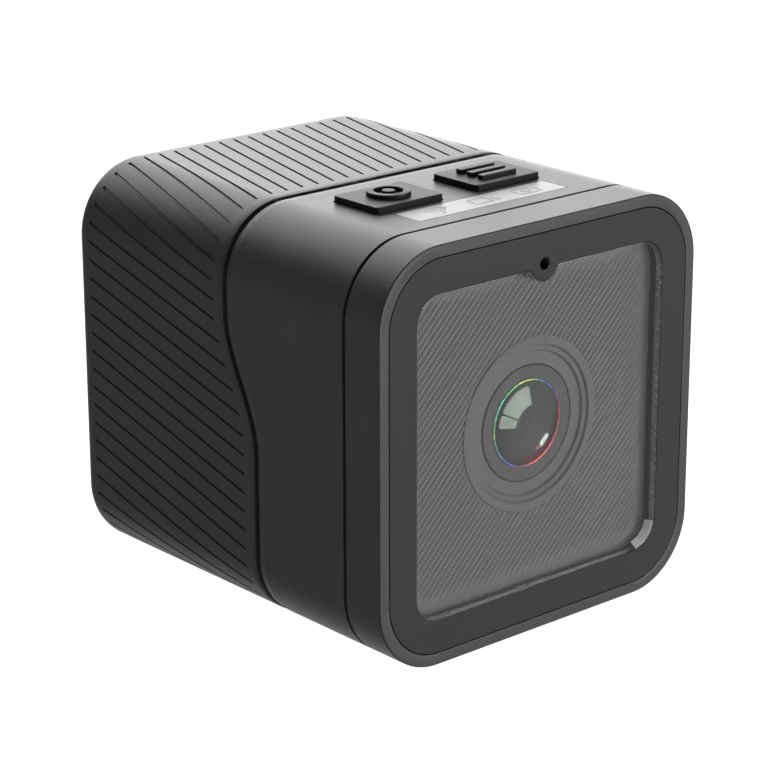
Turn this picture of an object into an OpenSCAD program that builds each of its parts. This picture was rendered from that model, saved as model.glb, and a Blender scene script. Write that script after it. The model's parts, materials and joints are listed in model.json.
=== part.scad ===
// Cube-shaped action camera with a pull-off grip cover.
// Frame: +Z up, the lens looks along -Y, origin on the base under the middle of the body.

/* [Body] */
// Width and height of the square body
body_w = 40; // [39:0.5:42]
// Length of the body from the front face to the back
body_d = 45.3; // [45:0.1:48]
// Radius of the four long edges
body_r = 7.1; // [6.8:0.1:7.6]
// Wall of the front housing
wall = 1.6; // [1.4:0.1:1.7]
// Length of the front bezel
bezel_d = 4.65; // [4.6:0.05:5]
// Thickness of the gasket between the bezel and the front housing
gasket_t = 0.25; // [0.2:0.05:0.4]
// Rounding of the bezel's front edge
bezel_edge_r = 0.15; // [0.1:0.05:0.5]

/* [Front] */
// Width and height of the opaque frame that fills the bezel
frame_w = 37.55; // [37:0.05:37.6]
// Corner radius of the frame
frame_r = 6.05; // [5.5:0.05:6.3]
// Thickness of the frame
frame_t = 1.5; // [1.4:0.1:1.6]
// Width and height of the clear window
window_w = 31.13; // [30.5:0.01:31.4]
// Corner radius of the window
window_r = 2.8; // [2:0.1:3.4]
// Thickness of the window
window_t = 1.3; // [1:0.1:1.4]
// Height of the microphone hole above the lens axis
mic_up = 15.83; // [15.6:0.01:15.9]
// Radius of the microphone hole
mic_r = 0.58; // [0.4:0.02:0.7]
// Radius of the tab of the frame that carries the microphone hole
mic_tab_r = 1.66; // [1.5:0.02:1.8]

/* [Lens] */
// Radius of the stepped baffle round the lens
baffle_r = 8.5; // [8.3:0.1:9]
// Radius of the first step down in the baffle
baffle_step1_r = 7.6; // [7.4:0.05:7.7]
// Radius of the second step down in the baffle
baffle_step2_r = 7.0; // [6.6:0.05:7.2]
// Depth of each step
baffle_step = 0.2; // [0.1:0.05:0.25]
// Outer radius of the ring that holds the front glass
ring_r = 5.6; // [5.4:0.05:5.6]
// Radius of the front glass
glass_r = 4.2; // [4:0.05:4.25]
// How far the front glass bulges
glass_bulge = 0.85; // [0.5:0.05:0.9]
// Outer radius of the lens barrel
barrel_r = 6; // [5.8:0.1:6]

/* [Keys] */
// Width of a key
key_w = 8.25; // [7.5:0.05:8.4]
// Depth of a key
key_d = 6.35; // [6:0.05:6.6]
// Corner radius of a key
key_r = 0.5; // [0.3:0.1:0.8]
// Sideways distance from the middle to the centre of each key
key_x = 6.2; // [6.1:0.05:6.3]
// Distance of the keys behind the front face
key_back = 14.45; // [14.3:0.05:14.6]
// Height of a key above the body
key_rise = 0.6; // [0.4:0.05:0.8]
// Height of the raised symbol on a key
symbol_rise = 0.4; // [0.2:0.05:0.5]
// Travel of a key
key_travel = 0.35; // [0.2:0.05:0.35]

/* [Status strip] */
// Width of the translucent strip
strip_w = 18.65; // [18:0.05:19]
// Depth of the strip, front to back
strip_d = 3.4; // [3:0.1:3.5]
// Sideways offset of the strip
strip_x = 0.38; // [0:0.02:0.5]
// Distance of the strip's centre behind the front face
strip_back = 8.7; // [8.6:0.05:8.8]
// Sideways spacing of the three lights
light_pitch = 5.5; // [5:0.1:5.8]

/* [Grip cover] */
// Wall of the cover
cover_wall = 1.8; // [1.6:0.1:1.8]
// Thickness of the cover's back
cover_back = 2; // [1.6:0.1:2.2]
// Rounding of the cover's rear edge
cover_edge_r = 1.5; // [1:0.1:1.7]
// Distance of the seam behind the front face, on top
seam_back = 21.75; // [21.5:0.05:21.9]
// How far the seam swings forward on the sides and below
seam_swing = 4.27; // [3.8:0.01:4.3]
// Gap between the housing and the cover at the seam
seam_gap = 0.25; // [0.2:0.05:0.35]
// Distance between grip grooves, measured round the cover
groove_pitch = 1.87; // [1.6:0.01:2.4]
// Width of a grip groove
groove_w = 0.25; // [0.2:0.05:0.4]
// Depth of a grip groove
groove_depth = 0.2; // [0.1:0.05:0.4]

/* [Inner body] */
// Width and height of the inner chassis that the cover slides over
chassis_w = 36; // [35.6:0.1:36]
// Wall of the inner chassis
chassis_wall = 1.6; // [1.4:0.1:1.6]
// Distance of the inner chassis's back behind the middle of the body
chassis_back = 15; // [14.8:0.1:15.2]
// Half of the distance between the long corner screws
screw_span = 13.9; // [13.8:0.05:14]

/* [Tripod socket] */
// Wall radius of the tapped hole for a quarter-inch tripod screw
tripod_r = 2.6; // [2.5:0.05:2.7]
// Depth of the tapped hole
tripod_depth = 5.2; // [5:0.1:5.4]
// Distance of the tripod socket behind the front face
tripod_back = 11.05; // [10.9:0.05:11.2]

/* [Memory card] */
// Width of the card
card_w = 11; // [10.9:0.1:11]
// Length of the card
card_l = 15; // [14.9:0.1:15]
// Thickness of the card
card_t = 0.8; // [0.7:0.05:0.9]

/* [Hidden] */
$fn = 64;

// Places along Y, from the front face backwards
front_y = -body_d / 2;
back_y = body_d / 2;
frame_back_y = front_y + frame_t;
bezel_back_y = front_y + bezel_d;
body_front_y = bezel_back_y + gasket_t;
seam_y = front_y + seam_back;
key_y = front_y + key_back;
strip_y = front_y + strip_back;
tripod_y = front_y + tripod_back;
tab_back_y = frame_back_y + 1.6;
plate_front_y = frame_back_y + 0.65;
plate_back_y = plate_front_y + 1.2;
baffle_front_y = plate_front_y - 0.12;
ring_front_y = front_y + 2.55;
barrel_front_y = ring_front_y + 1.5;

// The joints of the clamped stack: bezel posts, housing bosses, lens carrier, chassis arms
post_front_y = bezel_back_y - 0.4;
post_back_y = bezel_back_y + 3;
boss_back_y = post_back_y + 4.6;
carrier_back_y = boss_back_y + 1.2;
head_seat_y = carrier_back_y + 1.6;
chassis_front_y = carrier_back_y + 2.2;
panel_t = 1.6;
chassis_y = chassis_back - panel_t;

// The optics behind the carrier: barrel, filter, sensor and its board
barrel_back_y = carrier_back_y + 2;
cavity_y = barrel_back_y + 0.3;
sensor_back_y = cavity_y + 1.7;
sensor_board_y = sensor_back_y + 0.8;
element_r = 3.55;
stop_y = carrier_back_y - 4.8;

// Places across and up
mid_z = body_w / 2;
inner_w = body_w - 2 * wall;
inner_r = body_r - wall;
roof_z = body_w - wall;
chassis_r = body_r - (body_w - chassis_w) / 2;
chassis_inner_w = chassis_w - 2 * chassis_wall;
chassis_inner_r = chassis_r - chassis_wall;
corner_x = 11.5;
boss_r = 6;
screw_r = 0.95;
screw_hole_r = 1.1;
insert_r = 4.5;
key_gap = 0.15;
flange_z = roof_z - 0.8;
stem_r = 1;
stem_z = roof_z - 2.5;
seal_z = roof_z - 2.2;
seal_t = 0.5;
board_z = roof_z - 3.8;
board_t = 0.8;
switch_h = 1.2;
plunger_r = 0.9;
plunger_z = board_z + key_travel + 0.05;
main_board_z = mid_z + 4;
battery_z = mid_z - 15.8;
battery_top_z = battery_z + 11;
main_top_z = main_board_z + board_t;
card_x = -6.3;
card_z = main_top_z + 0.5;
usb_x = 9.2;
wave_start = 10.3;
wave_end = -2.6;
wave_steps = 24;
seal_groove_y = 2;
seal_groove_w = 1.2;
groove_slope = 0.27;
groove_land = 1.5;
groove_back_y = back_y - 2.2;
grooves_a_side = floor((body_w - 2 * body_r) / groove_pitch) + 1;

// Smooth step from 0 to 1
function smooth(t) = let (u = max(0, min(1, t))) u * u * (3 - 2 * u);

// Seam position along Y at a height above the base, on the front housing
function seam_at(z) =
    seam_y - seam_swing * smooth((wave_start - (z - mid_z)) / (wave_start - wave_end));

// Square with round corners, centred
module rounded_square(size, r) {
    flat = size - 2 * r;
    square([size, flat], center = true);
    square([flat, size], center = true);
    for (sx = [-1, 1], sz = [-1, 1]) translate([sx * flat / 2, sz * flat / 2]) circle(r);
}

// Rounded square bar along Y, centred on the lens axis
module bar(y0, y1, size, r) {
    translate([0, y1, mid_z]) rotate([90, 0, 0]) linear_extrude(y1 - y0) rounded_square(size, r);
}

// Rounded square tube along Y
module tube(y0, y1, size, r, hole, hole_r) {
    difference() {
        bar(y0, y1, size, r);
        bar(y0 - 1, y1 + 1, hole, hole_r);
    }
}

// Rod along Y at a place beside and above the lens axis
module rod(x, up, y0, y1, r) {
    translate([x, y0, mid_z + up]) rotate([-90, 0, 0]) cylinder(h = y1 - y0, r = r);
}

// Upright round post
module post(x, y, z0, z1, r) {
    translate([x, y, z0]) cylinder(h = z1 - z0, r = r);
}

// Box given by its lowest and highest corners
module block(low, high) {
    translate(low) cube(high - low);
}

// Solid of revolution about the lens axis from [radius, y] points
module turned(points) {
    translate([0, 0, mid_z]) rotate([-90, 0, 0]) rotate_extrude() polygon(points);
}

// Round ring about the lens axis
module ring(y0, y1, outer, inner) {
    turned([[inner, y0], [outer, y0], [outer, y1], [inner, y1]]);
}

// Half section of a bar, from the axis out to half, with rounded ends
module end_section(half, y0, y1, front_r, rear_r) {
    translate([0, y0 + front_r]) square([half, y1 - y0 - front_r - rear_r]);
    if (front_r > 0) {
        translate([0, y0]) square([half - front_r, front_r]);
        translate([half - front_r, y0 + front_r]) circle(front_r);
    }
    if (rear_r > 0) {
        translate([0, y1 - rear_r]) square([half - rear_r, rear_r]);
        translate([half - rear_r, y1 - rear_r]) circle(rear_r);
    }
}

// Rounded square bar along Y whose end edges are rounded too
module soft_bar(y0, y1, size, r, front_r, rear_r) {
    flat = size - 2 * r;
    translate([0, 0, mid_z]) for (a = [0 : 90 : 270]) rotate([0, a, 0]) {
        rotate([90, 0, 90]) linear_extrude(flat, center = true) rotate([0, 0, 90])
            mirror([0, 1, 0]) end_section(size / 2, y0, y1, front_r, rear_r);
        translate([flat / 2, 0, flat / 2]) rotate([-90, 0, 0]) rotate([0, 0, -90])
            rotate_extrude(angle = 90) end_section(r, y0, y1, front_r, rear_r);
    }
}

// Material kept at the four corners inside a bar of the given outline
module corner_blocks(y0, y1, size, r) {
    intersection() {
        bar(y0, y1, size, r);
        for (sx = [-1, 1], sz = [-1, 1])
            translate([sx * (corner_x + 5), (y0 + y1) / 2, mid_z + sz * (corner_x + 5)])
                cube([10, y1 - y0 + 1, 10], center = true);
    }
}

// The four long screw axes
module at_corners(y0, y1, r) {
    for (sx = [-1, 1], sz = [-1, 1]) rod(sx * screw_span, sz * screw_span, y0, y1, r);
}

// Room that the inner pieces leave round the tripod boss
module tripod_room(y0, y1) {
    block([-boss_r - 0.6, y0, 0], [boss_r + 0.6, y1, tripod_depth + 1.8]);
}

// Everything in front of the wave seam, moved back by an offset
module before_seam(offset_y) {
    points = concat(
        [[front_y - 1, body_w + 3], [seam_y + offset_y, body_w + 3]],
        [for (i = [0 : wave_steps])
            let (z = mid_z + wave_start + (wave_end - wave_start) * i / wave_steps)
            [seam_at(z) + offset_y, z]],
        [[seam_y - seam_swing + offset_y, -3], [front_y - 1, -3]]
    );
    rotate([90, 0, 90]) linear_extrude(body_w + 4, center = true) polygon(points);
}

// Upright block with a rounded outline, for the keys and their openings
module key_block(x, z0, z1, grow) {
    w = key_w + 2 * grow;
    d = key_d + 2 * grow;
    r = key_r + grow;
    translate([x, key_y, z0]) linear_extrude(z1 - z0) {
        square([w, d - 2 * r], center = true);
        square([w - 2 * r, d], center = true);
        for (sx = [-1, 1], sy = [-1, 1]) translate([sx * (w / 2 - r), sy * (d / 2 - r)]) circle(r);
    }
}

// The three light positions along the status strip
module at_lights(z0, z1, r) {
    for (i = [-1 : 1]) post(strip_x + i * light_pitch, strip_y, z0, z1, r);
}

// The three screws of the key board
module at_board_screws(z0, z1, r) {
    for (x = [-10.2, 10.2]) post(x, -14, z0, z1, r);
    post(0, key_y, z0, z1, r);
}

// The four screws of the rear panel
module at_panel_screws(y0, y1, r) {
    for (side = [-1, 1]) {
        rod(side * 14.6, -0.8, y0, y1, r);
        rod(side * 7, 14.7, y0, y1, r);
    }
}

// ---- Front ----

module front_bezel() color("#2f2f30") difference() {
    union() {
        difference() {
            union() {
                soft_bar(front_y, bezel_back_y, body_w, body_r, bezel_edge_r, 0);
                bar(bezel_back_y - 0.5, post_back_y, inner_w - 0.2, inner_r - 0.1);
            }
            bar(front_y - 1, frame_back_y + 0.1, frame_w + 0.2, frame_r + 0.1);
            bar(frame_back_y, bezel_back_y, window_w + 1.1, window_r + 0.4);
            bar(bezel_back_y - 0.1, post_back_y + 1, inner_w - 3.8, inner_r - 1.9);
        }
        corner_blocks(post_front_y, post_back_y, inner_w - 0.2, inner_r - 0.1);
    }
    at_corners(post_front_y + 0.4, post_back_y + 1, screw_r);
    rod(0, mic_up, frame_back_y, bezel_back_y + 3, 2.15);
    tripod_room(bezel_back_y, post_back_y + 1);
}

module front_frame() color("#1c1c1d") difference() {
    union() {
        difference() {
            bar(front_y, frame_back_y, frame_w, frame_r);
            bar(front_y - 1, frame_back_y + 1, window_w, window_r);
        }
        rod(0, mic_up, front_y, tab_back_y, mic_tab_r);
    }
    rod(0, mic_up, front_y - 1, frame_back_y + 3, mic_r);
}

module window_glass() color("#c8d0d4", 0.3) difference() {
    bar(front_y, front_y + window_t, window_w - 0.04, window_r - 0.02);
    rod(0, mic_up, front_y - 1, front_y + window_t + 1, mic_tab_r + 0.02);
}

module ribbed_plate() color("#4a4a4c") difference() {
    bar(plate_front_y, plate_back_y, window_w + 0.9, window_r + 0.3);
    rod(0, 0, plate_front_y - 1, plate_back_y + 1, baffle_r - 0.4);
    rod(0, mic_up, plate_front_y - 1, plate_back_y + 1, mic_tab_r + 0.5);
}

module front_gasket() color("#0d0d0d")
    tube(bezel_back_y, body_front_y, body_w - 0.7, body_r - 0.35, inner_w - 0.1, inner_r - 0.05);

module mic_membrane() color("#d8d8d2") rod(0, mic_up, tab_back_y, tab_back_y + 0.2, 1.5);

module microphone() color("#b9b9b4") rod(0, mic_up, tab_back_y + 0.2, tab_back_y + 1.7, 2);

// ---- Front housing ----

module main_body() color("#39393a") difference() {
    union() {
        difference() {
            bar(body_front_y, seam_y + 1, body_w, body_r);
            bar(body_front_y - 1, seam_y + 2, inner_w, inner_r);
        }
        corner_blocks(post_back_y, boss_back_y, inner_w + 0.2, inner_r);
        intersection() {
            post(0, tripod_y, 0, tripod_depth + 1.2, boss_r);
            bar(body_front_y, seam_y, body_w, body_r);
        }
        at_board_screws(board_z, roof_z + 0.5, 1.2);
    }
    difference() {
        bar(front_y - 1, back_y, body_w + 2, body_r);
        before_seam(0);
    }
    at_corners(post_back_y - 1, boss_back_y + 1, screw_hole_r);
    for (side = [-1, 1]) key_block(side * key_x, roof_z - 1, body_w + 1, key_gap);
    translate([strip_x, strip_y, body_w]) cube([strip_w + 0.1, strip_d + 0.1, 1.7], center = true);
    at_lights(roof_z - 1, body_w, 1);
    post(0, tripod_y, -1, tripod_depth, insert_r);
    at_board_screws(board_z - 1, board_z + 1.5, 0.6);
}

module tripod_insert() color("#b08d3e") difference() {
    post(0, tripod_y, 0, tripod_depth, insert_r);
    post(0, tripod_y, -1, tripod_depth + 1, tripod_r);
}

// ---- Lens ----

module lens_baffle() color("#4a4a4c") turned([
    [ring_r + 0.1, baffle_front_y + 2 * baffle_step],
    [baffle_step2_r, baffle_front_y + 2 * baffle_step],
    [baffle_step2_r, baffle_front_y + baffle_step],
    [baffle_step1_r, baffle_front_y + baffle_step],
    [baffle_step1_r, baffle_front_y],
    [baffle_r, baffle_front_y],
    [baffle_r, plate_front_y],
    [baffle_r - 0.5, plate_front_y],
    [baffle_r - 0.5, plate_back_y + 0.4],
    [ring_r + 0.1, plate_back_y + 0.4]
]);

module lens_retaining_ring() color("#1d1d1e")
    ring(ring_front_y, barrel_front_y, ring_r, glass_r + 0.05);

module lens_front_element() color("#5a6a7a", 0.5) {
    front_curve = (glass_r * glass_r + glass_bulge * glass_bulge) / (2 * glass_bulge);
    apex_y = ring_front_y - glass_bulge;
    back_y = barrel_front_y + 0.9;
    hollow_curve = 5;
    translate([0, 0, mid_z]) rotate([-90, 0, 0]) rotate_extrude() difference() {
        intersection() {
            translate([0, apex_y]) square([glass_r, back_y - apex_y]);
            translate([0, apex_y + front_curve]) circle(front_curve);
        }
        translate([0, back_y - 0.9 + hollow_curve]) circle(hollow_curve);
    }
}

module aperture_stop() color("#101010") ring(stop_y, stop_y + 0.4, element_r, 1.2);

module lens_middle_element() color("#5a6a7a", 0.5) {
    front_curve = 9;
    intersection() {
        rod(0, 0, stop_y + 0.6, stop_y + 3, element_r);
        translate([0, stop_y + 0.6 + front_curve, mid_z]) sphere(front_curve);
    }
}

module lens_spacer() color("#202020") ring(stop_y + 3, stop_y + 4.2, element_r, 2.8);

module lens_rear_element() color("#5a6a7a", 0.5) {
    back_curve = 8.7;
    intersection() {
        rod(0, 0, stop_y + 4.2, stop_y + 6.1, element_r);
        translate([0, stop_y + 6.1 - back_curve, mid_z]) sphere(back_curve);
    }
}

module lens_barrel() color("#1a1a1b") turned([
    [4.3, barrel_front_y], [barrel_r, barrel_front_y], [barrel_r, barrel_back_y],
    [2.9, barrel_back_y], [2.9, barrel_back_y - 0.5], [element_r + 0.05, barrel_back_y - 0.5],
    [element_r + 0.05, stop_y - 1.6], [4.3, stop_y - 1.6]
]);

module lens_holder() color("#232324") difference() {
    union() {
        rod(0, 0, carrier_back_y - 6.3, carrier_back_y, 7.3);
        block([-8.5, carrier_back_y, mid_z - 8.5], [8.5, sensor_back_y, mid_z + 8.5]);
    }
    rod(0, 0, carrier_back_y - 7, cavity_y, barrel_r + 0.05);
    block([-6, cavity_y, mid_z - 6], [6, sensor_back_y + 1, mid_z + 6]);
    at_sensor_screws(sensor_back_y - 3, sensor_back_y + 1, 0.7);
}

module lens_carrier() color("#2b2b2c") difference() {
    bar(boss_back_y, carrier_back_y, inner_w - 0.6, inner_r - 0.3);
    rod(0, 0, boss_back_y - 1, carrier_back_y + 1, 7.4);
    at_corners(boss_back_y - 1, carrier_back_y + 1, screw_hole_r);
    block([-corner_x, boss_back_y - 1, mid_z + 10.4], [corner_x, carrier_back_y + 1, body_w]);
    tripod_room(boss_back_y - 1, carrier_back_y + 1);
}

module ir_filter() color("#7fa7b0", 0.5)
    block([-5.9, cavity_y + 0.1, mid_z - 5.9], [5.9, cavity_y + 0.4, mid_z + 5.9]);

module image_sensor() color("#3a3346")
    block([-4, sensor_back_y - 0.8, mid_z - 3.5], [4, sensor_back_y, mid_z + 3.5]);

module sensor_board() color("#1f5a35") difference() {
    block([-9.2, sensor_back_y, mid_z - 9.5], [9.2, sensor_board_y, mid_z + 9.5]);
    at_sensor_screws(sensor_back_y - 1, sensor_board_y + 1, 0.75);
}

// Two screws on a diagonal of the lens holder
module at_sensor_screws(y0, y1, r) {
    for (side = [-1, 1]) rod(side * 7.2, side * 7.2, y0, y1, r);
}

module sensor_screws() color("#c4c4c6") {
    at_sensor_screws(sensor_back_y - 2.8, sensor_board_y, 0.7);
    at_sensor_screws(sensor_board_y, sensor_board_y + 0.8, 1.3);
}

module sensor_flex() color("#b5762a") {
    block([-4, sensor_board_y, mid_z - 6.5], [4, sensor_board_y + 0.2, main_board_z]);
    block([-4, sensor_board_y + 0.2, main_board_z - 0.2], [4, 0.4, main_board_z]);
}

// ---- Keys and status strip ----

// Key cap with its flange and stem; the symbol is added by each key
module key_cap(x) {
    key_block(x, flange_z + 0.7, body_w + key_rise, 0);
    key_block(x, flange_z, flange_z + 0.7, 0.5);
    post(x, key_y, stem_z, flange_z, stem_r);
}

module ok_button() color("#2a2a2b") {
    top = body_w + key_rise;
    key_cap(-key_x);
    difference() {
        post(-key_x, key_y, top, top + symbol_rise, 2.1);
        post(-key_x, key_y, top, top + symbol_rise + 1, 1.4);
    }
    post(-key_x, key_y, top, top + symbol_rise, 0.6);
}

module mode_button() color("#2a2a2b") {
    top = body_w + key_rise;
    key_cap(key_x);
    for (row = [-1 : 1])
        translate([key_x, key_y + row * 1.5, top + symbol_rise / 2])
            cube([4.4, 0.75, symbol_rise], center = true);
}

module switch_plunger(x) post(x, key_y, plunger_z, stem_z, plunger_r);

module ok_switch_plunger() color("#9a9a9a") switch_plunger(-key_x);

module mode_switch_plunger() color("#9a9a9a") switch_plunger(key_x);

module key_switches() color("#3c3c3c") for (side = [-1, 1]) difference() {
    block([side * key_x - 2.25, key_y - 2.25, board_z],
          [side * key_x + 2.25, key_y + 2.25, board_z + switch_h]);
    post(side * key_x, key_y, board_z - 1, board_z + switch_h + 1, 1.3);
}

module key_seal() color("#0f0f10") difference() {
    block([-11.1, key_y - 4.6, seal_z], [11.1, key_y + 4.6, seal_z + seal_t]);
    for (side = [-1, 1]) post(side * key_x, key_y, seal_z - 1, seal_z + 1, stem_r + 0.3);
    post(0, key_y, seal_z - 1, seal_z + 1, 1.3);
}

module key_board() color("#1f5a35") difference() {
    block([-11.2, -16.6, board_z - board_t], [11.2, -3.6, board_z]);
    at_board_screws(board_z - 1, board_z + 1, 0.65);
}

module key_board_screws() color("#c4c4c6") {
    at_board_screws(board_z - board_t, board_z + 1.4, 0.6);
    at_board_screws(board_z - board_t - 0.6, board_z - board_t, 1.1);
}

module key_flex() color("#b5762a") {
    under = board_z - board_t;
    block([3, -5, under - 0.2], [7, -2.8, under]);
    block([3, -3, main_top_z + 0.2], [7, -2.8, under - 0.2]);
    block([3, -3, main_top_z], [7, 0.8, main_top_z + 0.2]);
}

module buzzer() color("#151515") difference() {
    under = board_z - board_t;
    post(-5.8, -9, under - 3, under, 4.2);
    post(-5.8, -9, under - 4, under - 2.6, 0.8);
}

module status_strip() color("#d9d9d9") {
    translate([strip_x, strip_y, body_w - 0.4]) cube([strip_w, strip_d, 0.8], center = true);
    at_lights(board_z + 1.1, body_w - 0.8, 0.9);
}

module status_leds() color("#e8e6c8") for (i = [-1 : 1])
    translate([strip_x + i * light_pitch, strip_y, board_z + 0.35])
        cube([1.6, 0.8, 0.7], center = true);

// ---- Inner body ----

module frame_screws() color("#c4c4c6") {
    at_corners(post_front_y + 0.6, head_seat_y, screw_r);
    difference() {
        at_corners(head_seat_y, head_seat_y + 1.3, 1.7);
        at_corners(head_seat_y + 0.7, head_seat_y + 2, 0.6);
    }
}

module inner_chassis() color("#272728") difference() {
    union() {
        tube(chassis_front_y, chassis_y, chassis_w, chassis_r, chassis_inner_w, chassis_inner_r);
        corner_blocks(carrier_back_y, chassis_front_y, chassis_w, chassis_r);
        for (side = [-1, 1]) translate([side * 15.75, 3.5, main_board_z - 0.6])
            cube([1.5, 11, 1.2], center = true);
        at_panel_screws(9.4, chassis_y, 1.9);
    }
    at_corners(carrier_back_y - 1, head_seat_y + 1, screw_hole_r);
    at_corners(head_seat_y, chassis_front_y + 1, 1.9);
    at_panel_screws(9.6, chassis_y + 1, 0.8);
    block([-corner_x, carrier_back_y - 1, mid_z + 11], [corner_x, key_y + 5, body_w]);
    tripod_room(carrier_back_y - 1, tripod_y + boss_r + 0.15);
    tube(seal_groove_y, seal_groove_y + seal_groove_w, chassis_w + 2, chassis_r + 1,
         chassis_w - 1.4, chassis_r - 0.7);
}

module cover_seal() color("#0d0d0d")
    tube(seal_groove_y + 0.05, seal_groove_y + seal_groove_w - 0.05, chassis_w + 0.2,
         chassis_r + 0.1, chassis_w - 1.38, chassis_r - 0.69);

module rear_panel() color("#2e2e2f") difference() {
    bar(chassis_y, chassis_back, chassis_w, chassis_r);
    at_panel_screws(chassis_y - 1, chassis_back + 1, 0.85);
    at_panel_screws(chassis_back - 0.7, chassis_back + 1, 1.5);
    block([card_x - 5.9, chassis_y - 1, card_z - 0.25],
          [card_x + 5.9, chassis_back + 1, card_z + card_t + 0.25]);
    block([card_x - 4, chassis_back - 0.8, card_z - 1.6],
          [card_x + 4, chassis_back + 1, card_z + card_t + 1.6]);
    block([usb_x - 4.1, chassis_y - 1, main_top_z - 0.2],
          [usb_x + 4.1, chassis_back + 1, main_top_z + 3.1]);
}

module panel_screws() color("#c4c4c6") {
    at_panel_screws(10, chassis_back - 0.7, 0.75);
    difference() {
        at_panel_screws(chassis_back - 0.7, chassis_back - 0.05, 1.45);
        at_panel_screws(chassis_back - 0.4, chassis_back + 1, 0.55);
    }
}

module battery() color("#7a8288") block([-14, -1.6, battery_z], [14, 12.4, battery_top_z]);

module battery_lead() color("#8c1f1f") {
    plug_z = main_board_z - 1.8;
    for (x = [-12.6, -11.2]) post(x, 0.6, battery_top_z, plug_z, 0.5);
    block([-13.6, -0.6, plug_z], [-10.2, 2, main_board_z]);
}

module main_board() color("#1f5a35") block([-15.4, -2.2, main_board_z], [15.4, 12.8, main_top_z]);

module processor() color("#1b1b1c") block([-8, 2, main_board_z - 1.2], [1, 11, main_board_z]);

module memory_chip() color("#222224") block([2, 2.5, main_board_z - 1], [8, 10.5, main_board_z]);

module shield_can() color("#b4b6b8") difference() {
    sheet_t = 0.25;
    floor_z = main_board_z - 2.6;
    block([-9, 1, floor_z], [9, 11.8, main_board_z]);
    block([-9 + sheet_t, 1 + sheet_t, floor_z + sheet_t],
          [9 - sheet_t, 11.8 - sheet_t, main_board_z + 1]);
}

module wireless_module() color("#8f9194") block([8, -1.4, main_top_z], [14.6, 5.6, main_top_z + 1.8]);

module card_socket() color("#a9abad") difference() {
    block([card_x - 7.2, -1.6, main_top_z], [card_x + 7.2, 12.9, main_top_z + 1.9]);
    block([card_x - card_w / 2 - 0.15, -1, card_z - 0.15],
          [card_x + card_w / 2 + 0.15, 13.5, card_z + card_t + 0.15]);
}

module usb_port() color("#a9abad") {
    difference() {
        block([usb_x - 3.8, 8.2, main_top_z], [usb_x + 3.8, 14.6, main_top_z + 2.7]);
        block([usb_x - 3.45, 9, main_top_z + 0.4], [usb_x + 3.45, 15, main_top_z + 2.3]);
    }
    block([usb_x - 2, 8.8, main_top_z + 1.4], [usb_x + 2, 13.6, main_top_z + 1.9]);
}

module memory_card() color("#202226")
    block([card_x - card_w / 2, chassis_back - 0.1 - card_l, card_z],
          [card_x + card_w / 2, chassis_back - 0.1, card_z + card_t]);

// ---- Grip cover ----

// Height above the base of a point on one of the four sides, x along it from its middle
function side_height(side, x) = mid_z + cos(90 * side) * body_w / 2 - sin(90 * side) * x;

// Slanted grooves cut into one flat side, which faces up before it is turned into place
module side_grooves(side) {
    tilt = atan(groove_slope);
    for (i = [0 : grooves_a_side - 1]) {
        x = (i - (grooves_a_side - 1) / 2) * groove_pitch;
        y0 = seam_at(side_height(side, x)) + seam_gap + groove_land;
        translate([x, (y0 + groove_back_y) / 2, body_w / 2]) rotate([0, 0, -tilt])
            cube([groove_w, (groove_back_y - y0) / cos(tilt), 2 * groove_depth], center = true);
    }
}

module rear_cover() color("#333334") {
    cavity_w = body_w - 2 * cover_wall;
    difference() {
        soft_bar(seam_y - 6, back_y, body_w, body_r, 0, cover_edge_r);
        bar(seam_y - 7, back_y - cover_back, cavity_w, body_r - cover_wall);
        before_seam(seam_gap);
        for (side = [0 : 3]) translate([0, 0, mid_z]) rotate([0, 90 * side, 0]) side_grooves(side);
    }
}

front_bezel();
front_frame();
window_glass();
ribbed_plate();
front_gasket();
main_body();
lens_baffle();
lens_retaining_ring();
lens_front_element();
aperture_stop();
lens_middle_element();
lens_spacer();
lens_rear_element();
lens_barrel();
lens_holder();
lens_carrier();
ir_filter();
image_sensor();
sensor_board();
sensor_screws();
sensor_flex();
mic_membrane();
microphone();
tripod_insert();
status_strip();
status_leds();
key_seal();
key_board();
key_board_screws();
key_switches();
key_flex();
buzzer();
frame_screws();
inner_chassis();
cover_seal();
rear_panel();
panel_screws();
battery();
battery_lead();
main_board();
processor();
memory_chip();
shield_can();
wireless_module();
card_socket();
usb_port();
ok_button();
ok_switch_plunger();
mode_button();
mode_switch_plunger();
memory_card();
rear_cover();
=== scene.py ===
"""Looks of the cube action camera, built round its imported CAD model."""

import json
import math

import bmesh
import bpy
from mathutils import Matrix, Vector


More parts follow.
